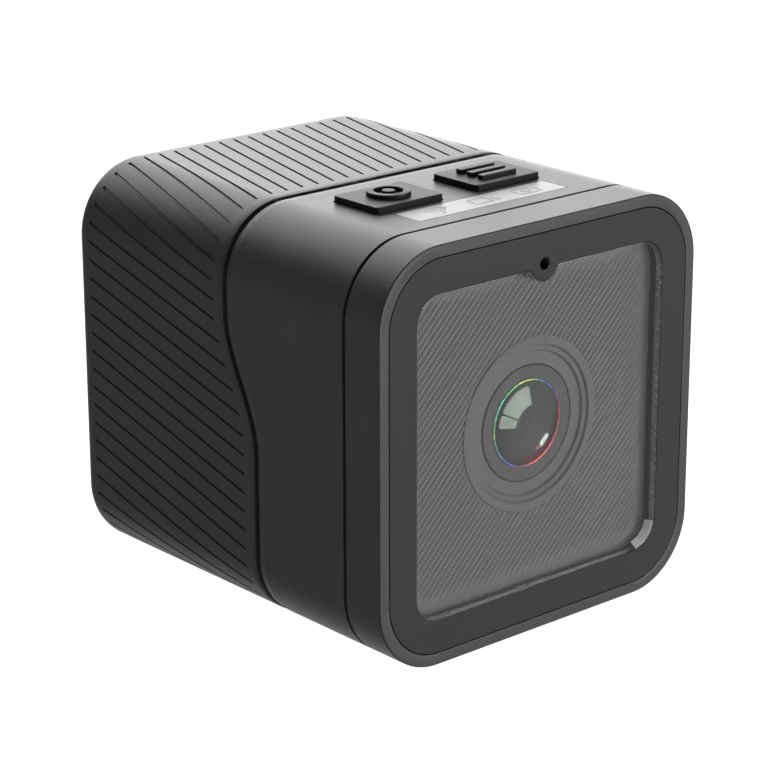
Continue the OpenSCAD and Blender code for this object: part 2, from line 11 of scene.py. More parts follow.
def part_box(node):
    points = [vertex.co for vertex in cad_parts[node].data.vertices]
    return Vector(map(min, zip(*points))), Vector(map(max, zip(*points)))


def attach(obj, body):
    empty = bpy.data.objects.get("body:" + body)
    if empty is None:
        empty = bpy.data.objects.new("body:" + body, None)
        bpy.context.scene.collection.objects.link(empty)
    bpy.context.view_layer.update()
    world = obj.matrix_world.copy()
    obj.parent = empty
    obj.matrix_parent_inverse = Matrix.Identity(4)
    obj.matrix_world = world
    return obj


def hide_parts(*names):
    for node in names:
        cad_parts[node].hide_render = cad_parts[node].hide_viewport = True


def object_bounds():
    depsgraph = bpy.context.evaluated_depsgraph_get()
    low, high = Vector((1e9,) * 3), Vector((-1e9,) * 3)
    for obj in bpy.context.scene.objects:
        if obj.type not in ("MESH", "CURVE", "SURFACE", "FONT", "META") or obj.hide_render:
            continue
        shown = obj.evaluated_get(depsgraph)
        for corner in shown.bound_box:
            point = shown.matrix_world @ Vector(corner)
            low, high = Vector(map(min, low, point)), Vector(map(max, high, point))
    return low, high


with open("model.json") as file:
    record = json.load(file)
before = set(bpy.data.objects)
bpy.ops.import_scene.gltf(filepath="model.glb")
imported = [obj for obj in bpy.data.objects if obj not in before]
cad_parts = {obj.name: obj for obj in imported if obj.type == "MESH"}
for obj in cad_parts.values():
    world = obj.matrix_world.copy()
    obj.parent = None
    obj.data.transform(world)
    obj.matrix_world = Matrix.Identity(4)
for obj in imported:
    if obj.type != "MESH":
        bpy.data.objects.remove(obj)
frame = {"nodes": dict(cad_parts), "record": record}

cad_bounds = [list(corner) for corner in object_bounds()]

MM = 0.001
TAU = 2 * math.pi
scene = bpy.context.scene

# ---------------------------------------------------------------- places, from the frame

BODY_LOW, BODY_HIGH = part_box("main_body")
BEZEL_LOW, BEZEL_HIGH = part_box("front_bezel")
COVER_LOW, COVER_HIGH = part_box("rear_cover")
FRAME_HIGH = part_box("front_frame")[1]
PANE_LOW, PANE_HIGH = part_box("window_glass")
PLATE_LOW, PLATE_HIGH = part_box("ribbed_plate")

HALF = BODY_HIGH.x
MID_Z = (BODY_LOW.z + BODY_HIGH.z) / 2
TOP_Z = BODY_HIGH.z
FRONT_Y = BEZEL_LOW.y
BACK_Y = COVER_HIGH.y
EDGE_R = 7.1 * MM
SEAM_TOP_Y = BODY_HIGH.y
SEAM_SWING = 4.27 * MM
SEAM_GAP = COVER_LOW.y - (SEAM_TOP_Y - SEAM_SWING)
WAVE_START = 10.3 * MM
WAVE_END = -2.6 * MM
GLASS_R, GLASS_BULGE = 4.2 * MM, 0.85 * MM
GLASS_CURVE = (GLASS_R ** 2 + GLASS_BULGE ** 2) / (2 * GLASS_BULGE)
GLASS_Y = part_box("lens_front_element")[0].y


def smooth_step(t):
    """Smooth rise from 0 to 1."""
    t = max(0.0, min(1.0, t))
    return t * t * (3 - 2 * t)


def seam_y(up):
    """Rear edge of the front housing, at a height above the lens axis."""
    return SEAM_TOP_Y - SEAM_SWING * smooth_step((WAVE_START - up) / (WAVE_START - WAVE_END))


# ---------------------------------------------------------------- camera, light and floor

CAMERA_AZIMUTH = -41.284
CAMERA_ELEVATION = 18.535
CAMERA_ROLL = -0.083
CAMERA_DISTANCE = 271.8 * MM
CAMERA_LENS = 128.05
AIM_OFFSET = Vector((0.22, -0.86, -1.57)) * MM


def look_direction(azimuth, elevation):
    """Unit vector from the object to a viewer; azimuth 0 stands in front of the lens."""
    a, e = math.radians(azimuth), math.radians(elevation)
    return Vector((math.sin(a) * math.cos(e), -math.cos(a) * math.cos(e), math.sin(e)))


def add_camera():
    """The camera at the photograph's viewing angle."""
    data = bpy.data.cameras.new("camera")
    data.lens = CAMERA_LENS
    data.sensor_width = 36
    data.clip_start = 0.01
    obj = bpy.data.objects.new("camera", data)
    scene.collection.objects.link(obj)
    aim = Vector((0, (FRONT_Y + BACK_Y) / 2, MID_Z)) + AIM_OFFSET
    back = look_direction(CAMERA_AZIMUTH, CAMERA_ELEVATION)
    obj.location = aim + back * CAMERA_DISTANCE
    roll = Matrix.Rotation(math.radians(CAMERA_ROLL), 3, "Z")
    obj.rotation_euler = (back.to_track_quat("Z", "Y").to_matrix() @ roll).to_euler()
    scene.camera = obj


def lens_mirror(radius, angle):
    """Where a viewer at the camera sees to by reflection at a place on the front glass."""
    x, up = radius * math.cos(math.radians(angle)), radius * math.sin(math.radians(angle))
    normal = Vector((x, -math.sqrt(GLASS_CURVE ** 2 - radius ** 2), up)) / GLASS_CURVE
    back = (scene.camera.location - Vector((x, GLASS_Y, MID_Z + up))).normalized()
    return 2 * back.dot(normal) * normal - back


def add_lens_softbox(name, inner, outer, start, end, radiance, tint=(1, 1, 1)):
    """Softbox whose reflection in the front glass is a piece of a ring, in mm and degrees."""
    distance, steps_r, steps_a = 0.6, 4, 12
    bm = bmesh.new()
    middle = Vector((0, GLASS_Y, MID_Z))
    rows = []
    for i in range(steps_r + 1):
        radius = (inner + (outer - inner) * i / steps_r) * MM
        angles = [start + (end - start) * k / steps_a for k in range(steps_a + 1)]
        rows.append([bm.verts.new(middle + lens_mirror(radius, a) * distance) for a in angles])
    for low, high in zip(rows, rows[1:]):
        for k in range(steps_a):
            bm.faces.new((low[k], low[k + 1], high[k + 1], high[k]))
    mesh = bpy.data.meshes.new(name)
    bm.to_mesh(mesh)
    bm.free()
    box = bpy.data.objects.new(name, mesh)
    scene.collection.objects.link(box)
    material = bpy.data.materials.new(name + "_light")
    material.use_nodes = True
    shader = material.node_tree.nodes["Principled BSDF"]
    shader.inputs["Base Color"].default_value = (0, 0, 0, 1)
    shader.inputs["Specular IOR Level"].default_value = 0.0
    shader.inputs["Emission Color"].default_value = (*tint, 1)
    shader.inputs["Emission Strength"].default_value = radiance
    mesh.materials.append(material)
    box.visible_camera = False
    box.visible_shadow = False


def add_world():
    """A dim dome with soft bright patches: behind the object, overhead and low in front."""
    world = bpy.data.worlds.new("studio")
    world.use_nodes = True
    scene.world = world
    tree = world.node_tree
    tree.nodes.clear()
    coord = tree.nodes.new("ShaderNodeTexCoord")
    total = None
    # direction a patch of the dome faces, cosine where it starts and where it is full, radiance
    patches = [
        (look_direction(140, 20), 0.74, 0.97, 1.4),
        (look_direction(140, 5), 0.95, 0.997, 3.6),
        (look_direction(163, 46), 0.74, 0.98, 2.7),
        (look_direction(45, -14), 0.6, 0.95, 0.95),
        (look_direction(41, -18), 0.85, 0.98, 0.4),
        (look_direction(150, -28), 0.68, 0.98, 0.72),
        (look_direction(-125, -15), 0.86, 0.98, 0.2),
        (Vector((0, 0, 1)), 0.3, 0.95, 0.3),
    ]
    for direction, start, full, radiance in patches:
        dot = tree.nodes.new("ShaderNodeVectorMath")
        dot.operation = "DOT_PRODUCT"
        dot.inputs[1].default_value = direction
        tree.links.new(coord.outputs["Generated"], dot.inputs[0])
        span = tree.nodes.new("ShaderNodeMapRange")
        span.interpolation_type = "SMOOTHERSTEP"
        span.inputs["From Min"].default_value = start
        span.inputs["From Max"].default_value = full
        span.inputs["To Max"].default_value = radiance
        tree.links.new(dot.outputs["Value"], span.inputs["Value"])
        if total is None:
            total = span.outputs["Result"]
            continue
        add = tree.nodes.new("ShaderNodeMath")
        add.operation = "ADD"
        tree.links.new(total, add.inputs[0])
        tree.links.new(span.outputs["Result"], add.inputs[1])
        total = add.outputs[0]
    base = tree.nodes.new("ShaderNodeMath")
    base.operation = "ADD"
    base.inputs[1].default_value = 0.1
    tree.links.new(total, base.inputs[0])
    background = tree.nodes.new("ShaderNodeBackground")
    tree.links.new(base.outputs[0], background.inputs["Strength"])
    output = tree.nodes.new("ShaderNodeOutputWorld")
    tree.links.new(background.outputs[0], output.inputs["Surface"])


def add_floor():
    """Plain pale floor under the object."""
    mesh = bpy.data.meshes.new("floor")
    size = 3.0
    corners = [(-size, -size, 0), (size, -size, 0), (size, size, 0), (-size, size, 0)]
    mesh.from_pydata(corners, [], [(0, 1, 2, 3)])
    floor = bpy.data.objects.new("floor", mesh)
    floor.location.z = cad_bounds[0][2] - 0.02 * MM
    scene.collection.objects.link(floor)
    material = bpy.data.materials.new("floor_paint")
    material.use_nodes = True
    shader = material.node_tree.nodes["Principled BSDF"]
    shader.inputs["Base Color"].default_value = (0.4, 0.4, 0.4, 1)
    shader.inputs["Roughness"].default_value = 1.0
    shader.inputs["Specular IOR Level"].default_value = 0.0
    shader.inputs["Emission Color"].default_value = (1, 1, 1, 1)
    shader.inputs["Emission Strength"].default_value = 1.0
    mesh.materials.append(material)
    floor.visible_glossy = False
    floor.visible_transmission = False


scene.view_settings.view_transform = "Standard"
scene.view_settings.look = "None"
add_camera()
add_world()
add_floor()
add_lens_softbox("softbox_high", 1.95, 3.75, 91, 152, 9.5)
add_lens_softbox("softbox_low", 1.95, 3.75, 155.5, 176, 9.0)
add_lens_softbox("softbox_spot", 2.3, 3.0, -60, -33, 18.0)
add_lens_softbox("softbox_tail", 2.55, 3.0, -74, -60, 6.0, (1.0, 0.35, 0.4))
add_lens_softbox("softbox_rim", 3.2, 3.95, -100, 5, 1.6, (1.0, 0.2, 0.28))


# ---------------------------------------------------------------- mesh helpers

def mark_sharp(bm, degrees):
    """Smooth shading, broken at edges that turn by more than an angle."""
    limit = math.radians(degrees)
    for face in bm.faces:
        face.smooth = True
    for edge in bm.edges:
        edge.smooth = not (edge.is_manifold and edge.calc_face_angle(0) > limit)


def finish_mesh(name, bm, sharp=35.0, weighted=True):
    """Mesh object from a bmesh; large flat faces stay flat beside small rounded edges."""
    bmesh.ops.remove_doubles(bm, verts=bm.verts, dist=0.0005 * MM)
    bmesh.ops.recalc_face_normals(bm, faces=bm.faces)
    mark_sharp(bm, sharp)
    mesh = bpy.data.meshes.new(name)
    bm.to_mesh(mesh)
    bm.free()
    obj = bpy.data.objects.new(name, mesh)
    scene.collection.objects.link(obj)
    if weighted:
        obj.modifiers.new("weighted", "WEIGHTED_NORMAL").keep_sharp = True
    return obj


def dress(obj, body, slot, *replaced):
    """Gives a piece its material, its body and the CAD nodes that it stands for."""
    obj.data.materials.clear()
    obj.data.materials.append(MATERIALS[slot])
    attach(obj, body)
    if replaced:
        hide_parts(*replaced)
    return obj


def add_ring(bm, points):
    """One closed ring of vertices."""
    return [bm.verts.new(p) for p in points]


def bridge(bm, ring_a, ring_b, closed=True):
    """Quads between two rings with the same number of vertices."""
    count = len(ring_a)
    for i in range(count if closed else count - 1):
        j = (i + 1) % count
        bm.faces.new((ring_a[i], ring_a[j], ring_b[j], ring_b[i]))


def square_outline(half, radius, arc_steps=20, flat_steps=2):
    """Points (x, up) round a square with round corners, anticlockwise from the top right corner."""
    reach = half - radius
    points = []
    for quarter in range(4):
        turn = quarter * TAU / 4
        cos_t, sin_t = round(math.cos(turn)), round(math.sin(turn))
        local = [
            (reach + radius * math.cos(a), reach + radius * math.sin(a))
            for a in (TAU / 4 * i / arc_steps for i in range(arc_steps + 1))
        ]
        local += [(reach - 2 * reach * i / flat_steps, half) for i in range(1, flat_steps)]
        points += [(x * cos_t - z * sin_t, x * sin_t + z * cos_t) for x, z in local]
    return points


def square_rings(name, profile, sharp=35.0, arc_steps=20, caps=False):
    """Solid swept round the lens axis from (y, half width, corner radius) rings."""
    bm = bmesh.new()
    rings = [
        add_ring(bm, [(x, y, MID_Z + z) for x, z in square_outline(half, radius, arc_steps)])
        for y, half, radius in profile
    ]
    for ring_a, ring_b in zip(rings, rings[1:]):
        bridge(bm, ring_a, ring_b)
    if caps:
        bm.faces.new(rings[0])
        bm.faces.new(rings[-1])
    else:
        bridge(bm, rings[-1], rings[0])
    return finish_mesh(name, bm, sharp)


def lathe(name, profile, steps=128, sharp=35.0, weighted=True, centres=((0.0, 0.0),),
          upright=False):
    """Closed solids of revolution from (radius, height) points, one for each centre.

    The axis runs along Y at (x, up) centres, or along Z at (x, y) centres.
    """
    bm = bmesh.new()
    for u, v in centres:
        def place(radius, height, angle, u=u, v=v):
            across, along = u + radius * math.cos(angle), v + radius * math.sin(angle)
            return (across, along, height) if upright else (across, height, MID_Z + along)
        rings = []
        for radius, height in profile:
            count = 1 if radius < 1e-9 else steps
            points = [place(radius, height, TAU * i / steps) for i in range(count)]
            rings.append(add_ring(bm, points))
        pairs = list(zip(rings, rings[1:]))
        if len(rings[0]) > 1 or len(rings[-1]) > 1:
            pairs.append((rings[-1], rings[0]))
        for ring_a, ring_b in pairs:
            if len(ring_a) == len(ring_b):
                bridge(bm, ring_a, ring_b)
                continue
            tip = (ring_a if len(ring_a) == 1 else ring_b)[0]
            loop = ring_b if len(ring_a) == 1 else ring_a
            for i in range(steps):
                bm.faces.new((tip, loop[i], loop[(i + 1) % steps]))
    return finish_mesh(name, bm, sharp, weighted)


def plate(name, loops, thickness, edge, place, turn=Matrix.Identity(4), sharp=40.0):
    """Flat plate with holes and rounded edges: loops of (u, v) points, filled and thickened.

    The plate lies in the XY plane with its middle at z = 0, then is turned and moved.
    """
    data = bpy.data.curves.new(name, "CURVE")
    data.dimensions = "2D"
    data.fill_mode = "BOTH"
    data.extrude = thickness / 2 - edge
    data.bevel_depth = edge
    data.bevel_resolution = 2
    data.offset = -edge
    for loop in loops:
        spline = data.splines.new("POLY")
        spline.points.add(len(loop) - 1)
        for point, (u, v) in zip(spline.points, loop):
            point.co = (u, v, 0, 1)
        spline.use_cyclic_u = True
    holder = bpy.data.objects.new(name + "_curve", data)
    scene.collection.objects.link(holder)
    bpy.context.view_layer.update()
    shape = holder.evaluated_get(bpy.context.evaluated_depsgraph_get()).to_mesh()
    bm = bmesh.new()
    bm.from_mesh(shape)
    holder.to_mesh_clear()
    bpy.data.objects.remove(holder)
    bpy.data.curves.remove(data)
    bm.transform(Matrix.Translation(place) @ turn)
    return finish_mesh(name, bm, sharp)


def round_rect(width, depth, radius, steps=8, at=(0.0, 0.0)):
    """Rectangle with round corners as (u, v) points."""
    points = []
    for quarter, (sx, sy) in enumerate([(1, 1), (-1, 1), (-1, -1), (1, -1)]):
        for i in range(steps + 1):
            a = TAU / 4 * (quarter + i / steps)
            points.append((
                at[0] + sx * (width / 2 - radius) + radius * math.cos(a),
                at[1] + sy * (depth / 2 - radius) + radius * math.sin(a),
            ))
    return points


def circle(radius, steps=64, at=(0.0, 0.0)):
    """Circle as (u, v) points."""
    return [
        (at[0] + radius * math.cos(TAU * i / steps), at[1] + radius * math.sin(TAU * i / steps))
        for i in range(steps)
    ]


def arc(radius, start, end, steps, at=(0.0, 0.0)):
    """Arc as (u, v) points; the angles are in degrees."""
    return [
        (
            at[0] + radius * math.cos(math.radians(start + (end - start) * i / steps)),
            at[1] + radius * math.sin(math.radians(start + (end - start) * i / steps)),
        )
        for i in range(steps + 1)
    ]


def prism(name, loop, low, high, upright=True):
    """Straight solid from a loop of (x, y) points along Z, or of (x, up) points along Y."""
    bm = bmesh.new()
    ends = []
    for level in (low, high):
        ends.append(add_ring(bm, [
            (u, v, level) if upright else (u, level, MID_Z + v) for u, v in loop
        ]))
    bridge(bm, *ends)
    for ring in ends:
        bm.faces.new(ring)
    return finish_mesh(name, bm, weighted=False)


def cut(obj, *cutters, sharp=35.0):
    """Takes the cutters' shapes out of a piece, and removes the cutters."""
    obj.modifiers.clear()
    for cutter in cutters:
        modifier = obj.modifiers.new("cut", "BOOLEAN")
        modifier.operation = "DIFFERENCE"
        modifier.solver = "EXACT"
        modifier.object = cutter
    bpy.context.view_layer.update()
    result = bpy.data.meshes.new_from_object(
        obj.evaluated_get(bpy.context.evaluated_depsgraph_get())
    )
    bm = bmesh.new()
    bm.from_mesh(result)
    mark_sharp(bm, sharp)
    bm.to_mesh(result)
    bm.free()
    obj.modifiers.clear()
    obj.data = result
    obj.modifiers.new("weighted", "WEIGHTED_NORMAL").keep_sharp = True
    for cutter in cutters:
        bpy.data.objects.remove(cutter)
    return obj


# Turns a plate from the XY plane to face the front, so that (u, v) becomes (x, up)
FACE_FRONT = Matrix.Rotation(math.radians(90), 4, "X")


# ---------------------------------------------------------------- materials

MATERIALS = {}


def node_material(name, colour, roughness, metallic=0.0, specular=0.5, coat=0.0):
    """Material with a Principled shader whose plain values sit on its own sockets."""
    material = bpy.data.materials.new(name)
    material.use_nodes = True
    shader = material.node_tree.nodes["Principled BSDF"]
    shader.inputs["Base Color"].default_value = (*colour, 1)
    shader.inputs["Roughness"].default_value = roughness
    shader.inputs["Metallic"].default_value = metallic
    shader.inputs["Specular IOR Level"].default_value = specular
    shader.inputs["Coat Weight"].default_value = coat
    MATERIALS[name] = material
    return material, material.node_tree, shader


def add_noise(tree, scale, detail=2.0, roughness=0.5, stretch=(1, 1, 1)):
    """Noise in object space, in cells per metre."""
    coord = tree.nodes.new("ShaderNodeTexCoord")
    mapping = tree.nodes.new("ShaderNodeMapping")
    mapping.inputs["Scale"].default_value = stretch
    tree.links.new(coord.outputs["Object"], mapping.inputs["Vector"])
    texture = tree.nodes.new("ShaderNodeTexNoise")
    texture.inputs["Scale"].default_value = scale
    texture.inputs["Detail"].default_value = detail
    texture.inputs["Roughness"].default_value = roughness
    tree.links.new(mapping.outputs["Vector"], texture.inputs["Vector"])
    return texture.outputs["Fac"]


def map_range(tree, source, low, high, to_low, to_high):
    """Rescales a value, clamped."""
    span = tree.nodes.new("ShaderNodeMapRange")
    span.inputs["From Min"].default_value = low
    span.inputs["From Max"].default_value = high
    span.inputs["To Min"].default_value = to_low
    span.inputs["To Max"].default_value = to_high
    tree.links.new(source, span.inputs["Value"])
    return span.outputs["Result"]


def mix_colours(tree, factor, first, second):
    """Colour between two plain colours."""
    mix = tree.nodes.new("ShaderNodeMix")
    mix.data_type = "RGBA"
    mix.inputs["A"].default_value = (*first, 1)
    mix.inputs["B"].default_value = (*second, 1)
    tree.links.new(factor, mix.inputs["Factor"])
    return mix.outputs["Result"]


def add_bump(tree, shader, height, strength, distance):
    """Bump from a height value; distance is in metres."""
    bump = tree.nodes.new("ShaderNodeBump")
    bump.inputs["Strength"].default_value = strength
    bump.inputs["Distance"].default_value = distance
    tree.links.new(height, bump.inputs["Height"])
    tree.links.new(bump.outputs["Normal"], shader.inputs["Normal"])


def moulded_plastic(name, dark, light, roughness, grain=5200.0, depth=0.006, specular=0.5):
    """Spark-textured plastic: fine grain, faint mottling and a roughness that varies a little."""
    material, tree, shader = node_material(name, dark, roughness, specular=specular)
    fine = add_noise(tree, grain, 3.0, 0.6)
    broad = add_noise(tree, 140.0, 3.0, 0.55)
    colour = mix_colours(tree, map_range(tree, broad, 0.3, 0.7, 0, 1), dark, light)
    tree.links.new(colour, shader.inputs["Base Color"])
    rough = map_range(tree, fine, 0.25, 0.75, roughness - 0.05, roughness + 0.06)
    tree.links.new(rough, shader.inputs["Roughness"])
    add_bump(tree, shader, fine, 0.5, depth * MM)
    return material


def clear_material(name, tint, ior, film=0.0, sheen=(1, 1, 1)):
    """Clear glass that lets the lamps through to what lies behind it."""
    material, tree, shader = node_material(name, tint, 0.0)
    shader.inputs["Transmission Weight"].default_value = 1.0
    shader.inputs["Specular Tint"].default_value = (*sheen, 1)
    shader.inputs["IOR"].default_value = ior
    shader.inputs["Thin Film Thickness"].default_value = film
    shader.inputs["Thin Film IOR"].default_value = 1.38
    smear = add_noise(tree, 60.0, 2.0, 0.5, (1, 1, 2.5))
    rough = map_range(tree, smear, 0.35, 0.75, 0.0, 0.01)
    tree.links.new(rough, shader.inputs["Roughness"])
    clear = tree.nodes.new("ShaderNodeBsdfTransparent")
    path = tree.nodes.new("ShaderNodeLightPath")
    mix = tree.nodes.new("ShaderNodeMixShader")
    output = tree.nodes["Material Output"]
    tree.links.new(path.outputs["Is Shadow Ray"], mix.inputs[0])
    tree.links.new(shader.outputs[0], mix.inputs[1])
    tree.links.new(clear.outputs[0], mix.inputs[2])
    tree.links.new(mix.outputs[0], output.inputs["Surface"])
    return material


def metal_material(name, colour, roughness, brushed=(1, 1, 1), metallic=1.0):
    """Metal with fine drawn lines in its gloss and colour."""
    material, tree, shader = node_material(name, colour, roughness, metallic=metallic)
    lines = add_noise(tree, 900.0, 3.0, 0.6, brushed)
    dull = tuple(c * 0.8 for c in colour)
    tree.links.new(mix_colours(tree, lines, dull, colour), shader.inputs["Base Color"])
    rough = map_range(tree, lines, 0.3, 0.7, roughness - 0.07, roughness + 0.1)
    tree.links.new(rough, shader.inputs["Roughness"])
    add_bump(tree, shader, lines, 0.3, 0.004 * MM)
    return material


def board_material(name):
    """Green solder mask with traces as faint raised lines."""
    material, tree, shader = node_material(name, (0.01, 0.1, 0.045), 0.3, coat=0.3)
    coord = tree.nodes.new("ShaderNodeTexCoord")
    grid = tree.nodes.new("ShaderNodeTexVoronoi")
    grid.feature = "DISTANCE_TO_EDGE"
    grid.distance = "MANHATTAN"
    grid.inputs["Scale"].default_value = 650.0
    tree.links.new(coord.outputs["Object"], grid.inputs["Vector"])
    line = map_range(tree, grid.outputs["Distance"], 0.03, 0.09, 1, 0)
    colour = mix_colours(tree, line, (0.008, 0.085, 0.035), (0.03, 0.2, 0.08))
    tree.links.new(colour, shader.inputs["Base Color"])
    rough = map_range(tree, add_noise(tree, 700.0), 0.3, 0.7, 0.25, 0.4)
    tree.links.new(rough, shader.inputs["Roughness"])
    add_bump(tree, shader, line, 0.4, 0.01 * MM)
    return material


def rim_material(name):
    """Edge of the coated front glass, with the coating's rainbow reflection painted as a colour that
    runs round the rim.
    """
    material, tree, shader = node_material(name, (0.1, 0.3, 0.2), 0.25, metallic=0.6, coat=1.0)
    coord = tree.nodes.new("ShaderNodeTexCoord")
    mapping = tree.nodes.new("ShaderNodeMapping")
    mapping.inputs["Location"].default_value = (0, 0, -MID_Z)
    tree.links.new(coord.outputs["Object"], mapping.inputs["Vector"])
    split = tree.nodes.new("ShaderNodeSeparateXYZ")
    tree.links.new(mapping.outputs["Vector"], split.inputs[0])
    angle = tree.nodes.new("ShaderNodeMath")
    angle.operation = "ARCTAN2"
    tree.links.new(split.outputs["Z"], angle.inputs[0])
    tree.links.new(split.outputs["X"], angle.inputs[1])
    turn = map_range(tree, angle.outputs[0], -math.pi, math.pi, 0, 1)
    ramp = tree.nodes.new("ShaderNodeValToRGB")
    ramp.color_ramp.interpolation = "EASE"
    # share of a turn from the left side, anticlockwise seen from the front, and the colour of the
    # painted coating reflection there
    stops = [
        (0.00, (0.35, 0.75, 0.12)),
        (0.08, (0.10, 0.45, 0.55)),
        (0.15, (0.06, 0.12, 0.75)),
        (0.22, (0.30, 0.06, 0.25)),
        (0.28, (0.85, 0.08, 0.06)),
        (0.42, (0.65, 0.05, 0.14)),
        (0.52, (0.55, 0.04, 0.12)),
        (0.58, (0.20, 0.08, 0.30)),
        (0.64, (0.07, 0.10, 0.60)),
        (0.70, (0.10, 0.50, 0.15)),
        (0.76, (0.75, 0.75, 0.12)),
        (0.82, (0.15, 0.65, 0.18)),
        (0.90, (0.10, 0.60, 0.50)),
        (0.96, (0.12, 0.60, 0.30)),
    ]
    elements = ramp.color_ramp.elements
    elements[0].position, elements[0].color = stops[0][0], (*stops[0][1], 1)
    elements[1].position, elements[1].color = 1.0, (*stops[0][1], 1)
    for place, colour in stops[1:]:
        elements.new(place).color = (*colour, 1)
    tree.links.new(turn, ramp.inputs[0])
    tree.links.new(ramp.outputs[0], shader.inputs["Base Color"])
    rough = map_range(tree, add_noise(tree, 2500.0), 0.3, 0.7, 0.2, 0.32)
    tree.links.new(rough, shader.inputs["Roughness"])
    return material


def make_materials():
    """One material for each slot of the record."""
    black, soot = (0.021, 0.021, 0.0215), (0.025, 0.025, 0.0255)
    moulded_plastic("housing_plastic", black, soot, 0.40, 6500.0, 0.045)
    moulded_plastic("grip_plastic", black, soot, 0.40, 6500.0, 0.045)
    moulded_plastic("frame_plastic", (0.021, 0.021, 0.021), (0.0225, 0.0225, 0.0225),
                    0.36, 7000.0, 0.003, 0.22)
    moulded_plastic("plate_plastic", (0.054, 0.054, 0.055), (0.058, 0.058, 0.059),
                    0.5, 6000.0, 0.003, 0.42)
    moulded_plastic("baffle_plastic", (0.056, 0.056, 0.058), (0.061, 0.061, 0.063),
                    0.5, 7000.0, 0.003, 0.35)
    moulded_plastic("key_plastic", (0.015, 0.015, 0.0155), (0.019, 0.019, 0.0195),
                    0.44, 6500.0, 0.02, 0.2)
    moulded_plastic("strip_plastic", (0.38, 0.38, 0.385), (0.42, 0.42, 0.425), 0.35, 7000.0, 0.003)
    moulded_plastic("seal_rubber", (0.01, 0.01, 0.01), (0.014, 0.014, 0.014), 0.62, 4000.0, 0.006)
    moulded_plastic("chip_black", (0.02, 0.02, 0.021), (0.026, 0.026, 0.027), 0.5, 5000.0, 0.005)
    moulded_plastic("sensor_die", (0.06, 0.04, 0.1), (0.05, 0.07, 0.12), 0.12, 3000.0, 0.001)
    moulded_plastic("led_resin", (0.8, 0.78, 0.6), (0.85, 0.83, 0.7), 0.2, 4000.0, 0.002)
    moulded_plastic("flex_polyimide", (0.42, 0.2, 0.05), (0.5, 0.26, 0.07), 0.28, 2500.0, 0.003)
    moulded_plastic("battery_wrap", (0.16, 0.18, 0.21), (0.22, 0.24, 0.27), 0.3, 1200.0, 0.02)
    moulded_plastic("lead_red", (0.4, 0.02, 0.02), (0.5, 0.04, 0.03), 0.4, 3000.0, 0.004)
    moulded_plastic("card_black", (0.02, 0.02, 0.024), (0.026, 0.026, 0.03), 0.36, 5000.0, 0.003)
    moulded_plastic("symbol_grey", (0.42, 0.42, 0.43), (0.48, 0.48, 0.49), 0.5, 6000.0, 0.002)
    moulded_plastic("vent_membrane", (0.012, 0.012, 0.012), (0.02, 0.02, 0.02), 0.8, 9000.0, 0.01)
    # pale paint for the painted highlight in the window pane's lower right corner
    moulded_plastic("pane_corner_highlight_paint", (0.86, 0.86, 0.86), (0.93, 0.93, 0.93), 0.5, 6000.0, 0.003)
    metal_material("lens_metal", (0.022, 0.022, 0.023), 0.42, metallic=0.3)
    metal_material("steel_plain", (0.6, 0.6, 0.61), 0.3)
    metal_material("socket_steel", (0.58, 0.58, 0.59), 0.32, (1, 12, 1))
    metal_material("insert_brass", (0.72, 0.52, 0.22), 0.3, (1, 1, 10))
    clear_material("window_clear", (0.97, 0.975, 0.98), 1.3)
    clear_material("lens_glass", (0.16, 0.165, 0.17), 1.46, sheen=(0.84, 1.0, 0.86))
    clear_material("filter_glass", (0.5, 0.9, 0.85), 1.5, film=300.0)
    board_material("circuit_board")
    rim_material("lens_rim_painted_sheen")


make_materials()


def dress_cad_nodes():
    """Every CAD node takes the material of its slot; some are replaced by finer pieces later."""
    for part in frame["record"]["subparts"]:
        node = frame["nodes"][part["node"]]
        node.data.materials.clear()
        node.data.materials.append(MATERIALS[part["material_slot"]])


dress_cad_nodes()


# ---------------------------------------------------------------- front of the camera

FRAME_HALF = FRAME_HIGH.x
FRAME_R = 6.05 * MM
WINDOW_HALF = 31.13 * MM / 2
WINDOW_R = 2.8 * MM
MIC_UP = 15.83 * MM
MIC_R = 0.58 * MM
TAB_R = 1.66 * MM
TAB_FILLET = 0.5 * MM


def window_outline(shrink=0.0):
    """Window opening as (x, up) points: a rounded square with a tab round the microphone hole."""
    half, radius = WINDOW_HALF - shrink, WINDOW_R - shrink
    tab, fillet = TAB_R + shrink, TAB_FILLET - shrink
    # the fillet's centre lies below the top edge, where it touches both the edge and the tab
    centre_up = half - fillet
    across = math.sqrt((tab + fillet) ** 2 - (MIC_UP - centre_up) ** 2)
    meet = math.degrees(math.atan2(MIC_UP - centre_up, -across))
    points = []
    for quarter, (sx, sz) in enumerate([(1, 1), (-1, 1), (-1, -1), (1, -1)]):
        centre = (sx * (half - radius), sz * (half - radius))
        points += arc(radius, 90 * quarter, 90 * quarter + 90, 12, centre)
        if quarter == 0:
            points += arc(fillet, 90, meet, 6, (across, centre_up))
            low = math.degrees(math.atan2(centre_up - MIC_UP, across))
            points += arc(tab, low, -180 - low, 24, (0, MIC_UP))[1:-1]
            points += arc(fillet, 180 - meet, 90, 6, (-across, centre_up))
    return points


